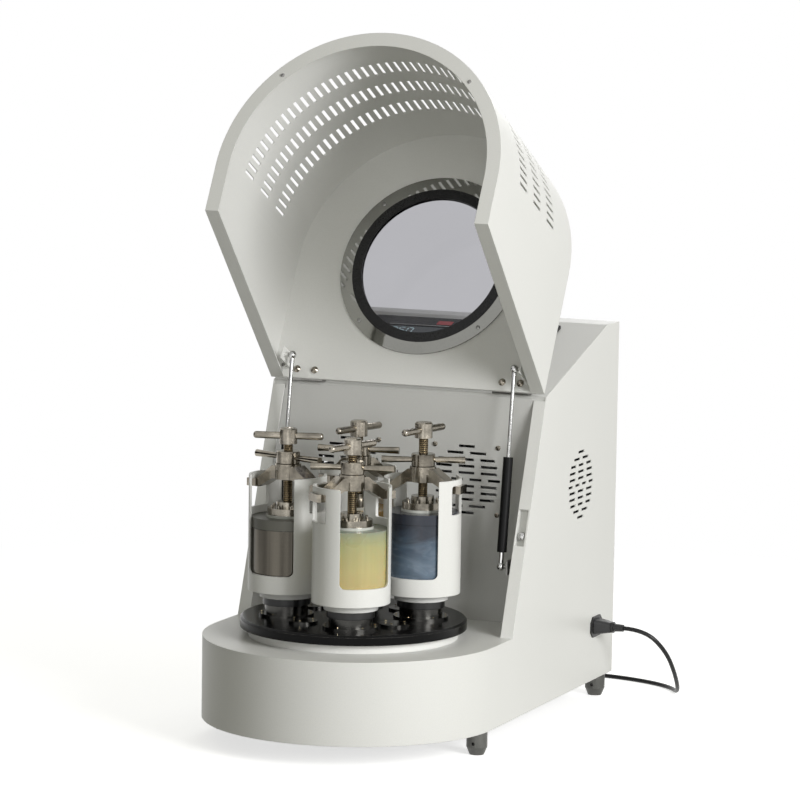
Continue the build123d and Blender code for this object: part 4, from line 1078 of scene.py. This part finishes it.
headSets = {
    "ringScrews": {
        **sheetScrew,
        "places": [
            onLid(*around(turntable, 0.142, turn), hoodCeiling, down)
            for turn in (45, 135, 225, 315)
        ],
    },
    "rimScrews": {
        **sheetScrew,
        "places": [onLid(*around(turntable, 0.2165, turn), 0.1655, down) for turn in (-135, -45)],
    },
    "hingeNuts": {
        "places": [onLid(x, 0.0374, 0.5175, down) for x in hingeX],
        "radius": 0.0058,
        "edge": 0.0012,
        "crown": 0.0036,
        "recess": "plain",
        "finish": "nickel",
        "body": "lid",
    },
    "lidLeafScrews": {
        **leafScrew,
        "places": [onLid(x, 0.0330, 0.5220, (0, 0, 1)) for x in hingeX],
    },
    "cabinetLeafScrews": {
        **leafScrew,
        "places": [onSlope(x, 0.024, 0.0025) for x in hingeX],
        "body": "cabinet",
    },
    "lidBracketScrews": {
        **sheetScrew,
        "places": [
            onLid(side * 0.212, 0.02667 + shift, hoodCeiling, down)
            for side in sides
            for shift in (-0.006, 0.006)
        ],
        "radius": 0.0030,
        "crown": 0.0010,
        "recessRadius": 0.0016,
        "recessDepth": 0.0008,
    },
    "fanScrews": {
        **leafScrew,
        "places": [
            (
                Vector((side * fanX + across * fanHole, wallFace, fanHeight + up * fanHole)),
                Vector((0, -1, 0)),
            )
            for side in sides
            for across in sides
            for up in sides
        ],
        "radius": 0.0040,
        "crown": 0.0016,
        "recessRadius": 0.0021,
        "finish": "nickel",
        "body": "cabinet",
    },
    "inletScrews": {
        **sheetScrew,
        "places": [
            (inletPlace + Vector((0, shift, 0)), Vector((1, 0, 0))) for shift in (-0.02, 0.02)
        ],
        "radius": 0.0028,
        "edge": 0.0006,
        "crown": 0.0010,
        "recessRadius": 0.0015,
        "recessDepth": 0.0008,
        "finish": "black_steel",
        "body": "cabinet",
    },
    "backScrews": {
        **sheetScrew,
        "places": [
            (Vector((side * 0.205, rearFace, height)), Vector((0, 1, 0)))
            for side in sides
            for height in (0.075, 0.245, 0.415, 0.580)
        ],
        "radius": 0.0040,
        "edge": 0.0008,
        "crown": 0.0012,
        "recessRadius": 0.0021,
        "recessDepth": 0.0010,
        "body": "cabinet",
    },
    "flangeScrews": {
        **socketScrew,
        "places": circlesOf(stationPlaces.values(), 0.0375, 0.1955, 22, 6),
    },
    "idlerCapScrews": {
        **socketScrew,
        "places": circlesOf(idlerPlaces, 0.0165, 0.195, 40, 3),
        "radius": 0.0036,
        "edge": 0.0018,
        "recessRadius": 0.0018,
        "recessDepth": 0.0012,
    },
}
for name, look in headSets.items():
    makeHeads(name, look)
print("set", sum(len(look["places"]) for look in headSets.values()), "screw heads")


# Control panel
panelSettings = {
    "along": 0.1935,
    "face": 0.0030,
    "inkHeight": 0.0003,
    "keysX": 0.090,
    "keyPitch": 0.034,
    "keyTop": 0.0040,
    "symbolHeight": 0.0002,
    "rim": (0.0112, 0.0103),
    "rimPoints": 32,
    "displayX": -0.050,
    "displayFloor": 0.0018,
    "displaySize": (0.148, 0.068),
    "glassHeight": 0.0006,
    "readoutHeight": 0.0002,
    "digitShare": (0.5, 0.10, 0.78),  # width, bar and pitch, as shares of a digit's height
    # What a row says, its place from the display's centre and its height
    "digitRows": [("350", -0.060, 0.018, 0.018), ("0230", -0.060, -0.014, 0.012)],
    "bars": {
        "count": 10,
        "left": 0.018,
        "foot": -0.018,
        "pitch": 0.0052,
        "width": 0.0036,
        "corner": 0.0006,
        "lowest": 0.003,
        "step": 0.0022,
    },
    # Centre, width, height, corner and the corner's steps
    "strip": (-0.033, 0.2440, 0.026, 0.014, 0.0015, 5),
    "line": (-0.050, 0.2318, 0.150, 0.0014, 0.0005, 2),
}
# The bars that each digit lights, out of seven
digitShapes = {"0": "abcdef", "2": "abged", "3": "abgcd", "5": "afgcd"}


def addSlab(bm, outline, low, high):
    # An upright slab with the outline's sides, drawn in the slope's own plane
    bottom = [bm.verts.new(slopeFrame @ Vector((x, y, low))) for x, y in outline]
    top = [bm.verts.new(slopeFrame @ Vector((x, y, high))) for x, y in outline]
    bm.faces.new(top)
    bm.faces.new(list(reversed(bottom)))
    for index in range(len(outline)):
        after = (index + 1) % len(outline)
        bm.faces.new((bottom[index], bottom[after], top[after], top[index]))


def finishPiece(name, bm, finish):
    bmesh.ops.recalc_face_normals(bm, faces=bm.faces)
    piece = pieceFrom(name, bm, finish)
    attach(piece, "cabinet")


def makeSlabs(name, outlines, floor, height, ink):
    bm = bmesh.new()
    for outline in outlines:
        addSlab(bm, outline, floor, floor + height)
    finishPiece(name, bm, ink)


def digitOutlines(digit, x, y, height, share):
    width = height * share[0]
    bar = height * share[1]
    spots = {
        "a": (0, height / 2, 1),
        "g": (0, 0, 1),
        "d": (0, -height / 2, 1),
        "f": (-width / 2, height / 4, 0),
        "b": (width / 2, height / 4, 0),
        "e": (-width / 2, -height / 4, 0),
        "c": (width / 2, -height / 4, 0),
    }
    outlines = []
    for letter in digitShapes[digit]:
        dx, dy, level = spots[letter]
        reach = (width if level else height / 2) / 2 - bar * 0.6
        half = [(-reach, 0), (-reach + bar / 2, -bar / 2), (reach - bar / 2, -bar / 2)]
        outline = half + [(-a, -b) for a, b in half]
        if not level:
            outline = [(-b, a) for a, b in outline]
        outlines.append([(x + dx + a, y + dy + b) for a, b in outline])
    return outlines


def readoutOutlines(look):
    # Two rows of digits, and a scale of rising bars beside them
    outlines = []
    for text, left, up, height in look["digitRows"]:
        for index, digit in enumerate(text):
            x = look["displayX"] + left + index * height * look["digitShare"][2]
            outlines += digitOutlines(digit, x, look["along"] + up, height, look["digitShare"])
    bars = look["bars"]
    for index in range(bars["count"]):
        rise = bars["lowest"] + bars["step"] * index
        x = look["displayX"] + bars["left"] + index * bars["pitch"]
        y = look["along"] + bars["foot"] + rise / 2
        outlines.append(roundedOutline(x, y, bars["width"], rise, bars["corner"], 2))
    return outlines


def boxOutline(x, y, width, height):
    corners = ((-1, -1), (1, -1), (1, 1), (-1, 1))
    return [(x + sideX * width / 2, y + sideY * height / 2) for sideX, sideY in corners]


def keyPlace(look, column, row):
    return look["keysX"] + column * look["keyPitch"], look["along"] + row * look["keyPitch"]


def symbolOutlines(look):
    # Stop, down, minus; left, start, right; forward, up, plus
    right = [(-0.0028, -0.0036), (0.0042, 0), (-0.0028, 0.0036)]
    up = [(-b, a) for a, b in right]
    left = [(-b, a) for a, b in up]
    lower = [(-b, a) for a, b in left]
    square = boxOutline(0, 0, 0.006, 0.006)
    bar = boxOutline(0, 0, 0.008, 0.0016)
    dot = roundedOutline(0, 0, 0.007, 0.007, 0.0034, 5)
    plus = [bar] + [boxOutline(0, side * 0.00255, 0.0016, 0.0029) for side in (1, -1)]
    keys = [[square], [lower], [bar], [left], [dot], [right], [right], [up], plus]
    outlines = []
    for index, shapes in enumerate(keys):
        x, y = keyPlace(look, index % 3 - 1, index // 3 - 1)
        outlines += [[(x + a, y + b) for a, b in shape] for shape in shapes]
    return outlines


def makeRims(look):
    outer, inner = look["rim"]
    low, high = look["face"], look["face"] + look["inkHeight"]
    angles = [math.tau * index / look["rimPoints"] for index in range(look["rimPoints"])]
    bm = bmesh.new()
    for column in (-1, 0, 1):
        for row in (-1, 0, 1):
            x, y = keyPlace(look, column, row)
            rows = []
            for radius, level in ((outer, low), (outer, high), (inner, high), (inner, low)):
                circle = [(x + radius * math.cos(a), y + radius * math.sin(a)) for a in angles]
                rows.append([bm.verts.new(slopeFrame @ Vector((*spot, level))) for spot in circle])
            joinRows(bm, rows)
    finishPiece("keyRims", bm, finishes["steel"])


def makePanel(look):
    floor, glass = look["displayFloor"], look["glassHeight"]
    screen = roundedOutline(look["displayX"], look["along"], *look["displaySize"], 0.002, 5)
    ink = printedInk("screenGlass", (0.05, 0.07, 0.08))
    makeSlabs("displayScreen", [screen], floor, glass, ink)
    ink = printedInk("readoutLight", (0.55, 0.75, 0.80), 0.6)
    makeSlabs("displayReadout", readoutOutlines(look), floor + glass, look["readoutHeight"], ink)
    ink = printedInk("whiteInk", (0.75, 0.75, 0.74))
    makeSlabs("keySymbols", symbolOutlines(look), look["keyTop"], look["symbolHeight"], ink)
    makeRims(look)
    marks = (
        ("redStrip", "strip", printedInk("redInk", (0.62, 0.02, 0.03))),
        ("screenLine", "line", printedInk("paleInk", (0.70, 0.70, 0.69))),
    )
    for name, key, ink in marks:
        makeSlabs(name, [roundedOutline(*look[key])], look["face"], look["inkHeight"], ink)


makePanel(panelSettings)
print("dressed the control panel")


# Studio
studioSettings = {
    "ambient": 0.30,
    "ambientColour": (1.0, 0.995, 0.86),
    "floorHalf": 9.0,
    "floorColour": (0.86, 0.86, 0.86),
    "floorBounce": (0.24, 0.24, 0.205),
    "floorLift": 0.66,  # its own glow under the mill; far from the mill it is plain white
    "floorFade": (0.5, 1.8),
    "lamps": [
        ("keyLamp", (3.5, -1.85, 1.55), (0, 0, 0.25), (1.8, 1.5), 133),
        ("backLamp", (-0.2, 3.2, 2.0), (0, 0.2, 0.3), (1.5, 1.2), 30),
        ("fillLamp", (1.2, -4.6, 0.5), (0, 0, 0.3), (1.8, 1.0), 14),
    ],
    "cards": {
        "leftBoard": {
            "place": (-2.6, -0.8, 1.0),
            "aim": (0, -0.2, 0.5),
            "size": (3.4, 2.0),
            "colour": (0.03, 0.03, 0.03),
        },
    },
}


def aimed(place, aim, axis):
    turn = (Vector(aim) - Vector(place)).to_track_quat(axis, "Y")
    return Matrix.Translation(place) @ turn.to_matrix().to_4x4()


def makeLamp(name, place, aim, size, power):
    data = bpy.data.lights.new(name, "AREA")
    data.shape = "RECTANGLE"
    data.size, data.size_y = size
    data.energy = power
    linked(name, data).matrix_world = aimed(place, aim, "-Z")


def bareFinish(name):
    finish = bpy.data.materials.new(name)
    finish.use_nodes = True
    tree = finish.node_tree
    tree.nodes.remove(tree.nodes["Principled BSDF"])
    return finish, tree, tree.nodes["Material Output"]


def makeSheet(name, half, matrix, finish):
    bm = bmesh.new()
    bmesh.ops.create_grid(bm, x_segments=1, y_segments=1, size=half)
    bm.transform(matrix)
    pieceFrom(name, bm, finish)


def seenDirectly(tree):
    # 1 for what the camera sees, straight or by way of metal and glass
    rays = addNode(tree, "ShaderNodeLightPath").outputs
    seen = maths(tree, "MAXIMUM", rays["Is Camera Ray"], rays["Is Glossy Ray"])
    return maths(tree, "MAXIMUM", seen, rays["Is Transmission Ray"])


def makeSky(look):
    world = bpy.data.worlds.new("studioSky")
    bpy.context.scene.world = world
    world.use_nodes = True
    tree = world.node_tree
    light = shade(look["ambientColour"], look["ambient"])
    colour = blended(tree, seenDirectly(tree), light, (1, 1, 1))
    feed(tree, tree.nodes["Background"], {"Color": colour, "Strength": 1.0})


def makeFloor(look):
    finish, tree, output = bareFinish("paleFloor")
    seen = seenDirectly(tree)
    spot = addNode(tree, "ShaderNodeTexCoord").outputs["Object"]
    far = spread(tree, vectorMaths(tree, "LENGTH", spot), 0, 1, *look["floorFade"])
    level = spread(tree, far, look["floorLift"], 1, 0, 1)
    lift = maths(tree, "MULTIPLY", seen, level)
    glow = addNode(tree, "ShaderNodeEmission", {"Strength": lift}).outputs[0]
    near = blended(tree, far, look["floorColour"], (0, 0, 0))
    colour = blended(tree, seen, look["floorBounce"], near)
    matt = addNode(tree, "ShaderNodeBsdfDiffuse", {"Color": colour}).outputs[0]
    both = addNode(tree, "ShaderNodeAddShader", {0: glow, 1: matt}).outputs[0]
    feed(tree, output, {"Surface": both})
    makeSheet("studioFloor", look["floorHalf"], Matrix(), finish)


def makeCard(name, look):
    # A dark board beside the set, which the camera itself does not see
    finish, tree, output = bareFinish(name)
    matt = addNode(tree, "ShaderNodeBsdfDiffuse", {"Color": (*look["colour"], 1)}).outputs[0]
    clear = addNode(tree, "ShaderNodeBsdfTransparent").outputs[0]
    straight = addNode(tree, "ShaderNodeLightPath").outputs["Is Camera Ray"]
    both = addNode(tree, "ShaderNodeMixShader", {0: straight, 1: matt, 2: clear}).outputs[0]
    feed(tree, output, {"Surface": both})
    matrix = aimed(look["place"], look["aim"], "Z") @ Matrix.Diagonal((*look["size"], 1, 1))
    makeSheet(name, 0.5, matrix, finish)


def makeStudio(look):
    bpy.context.scene.view_settings.view_transform = "Standard"
    makeSky(look)
    makeFloor(look)
    for lamp in look["lamps"]:
        makeLamp(*lamp)
    for name, card in look["cards"].items():
        makeCard(name, card)


makeStudio(studioSettings)
print("lit the studio")
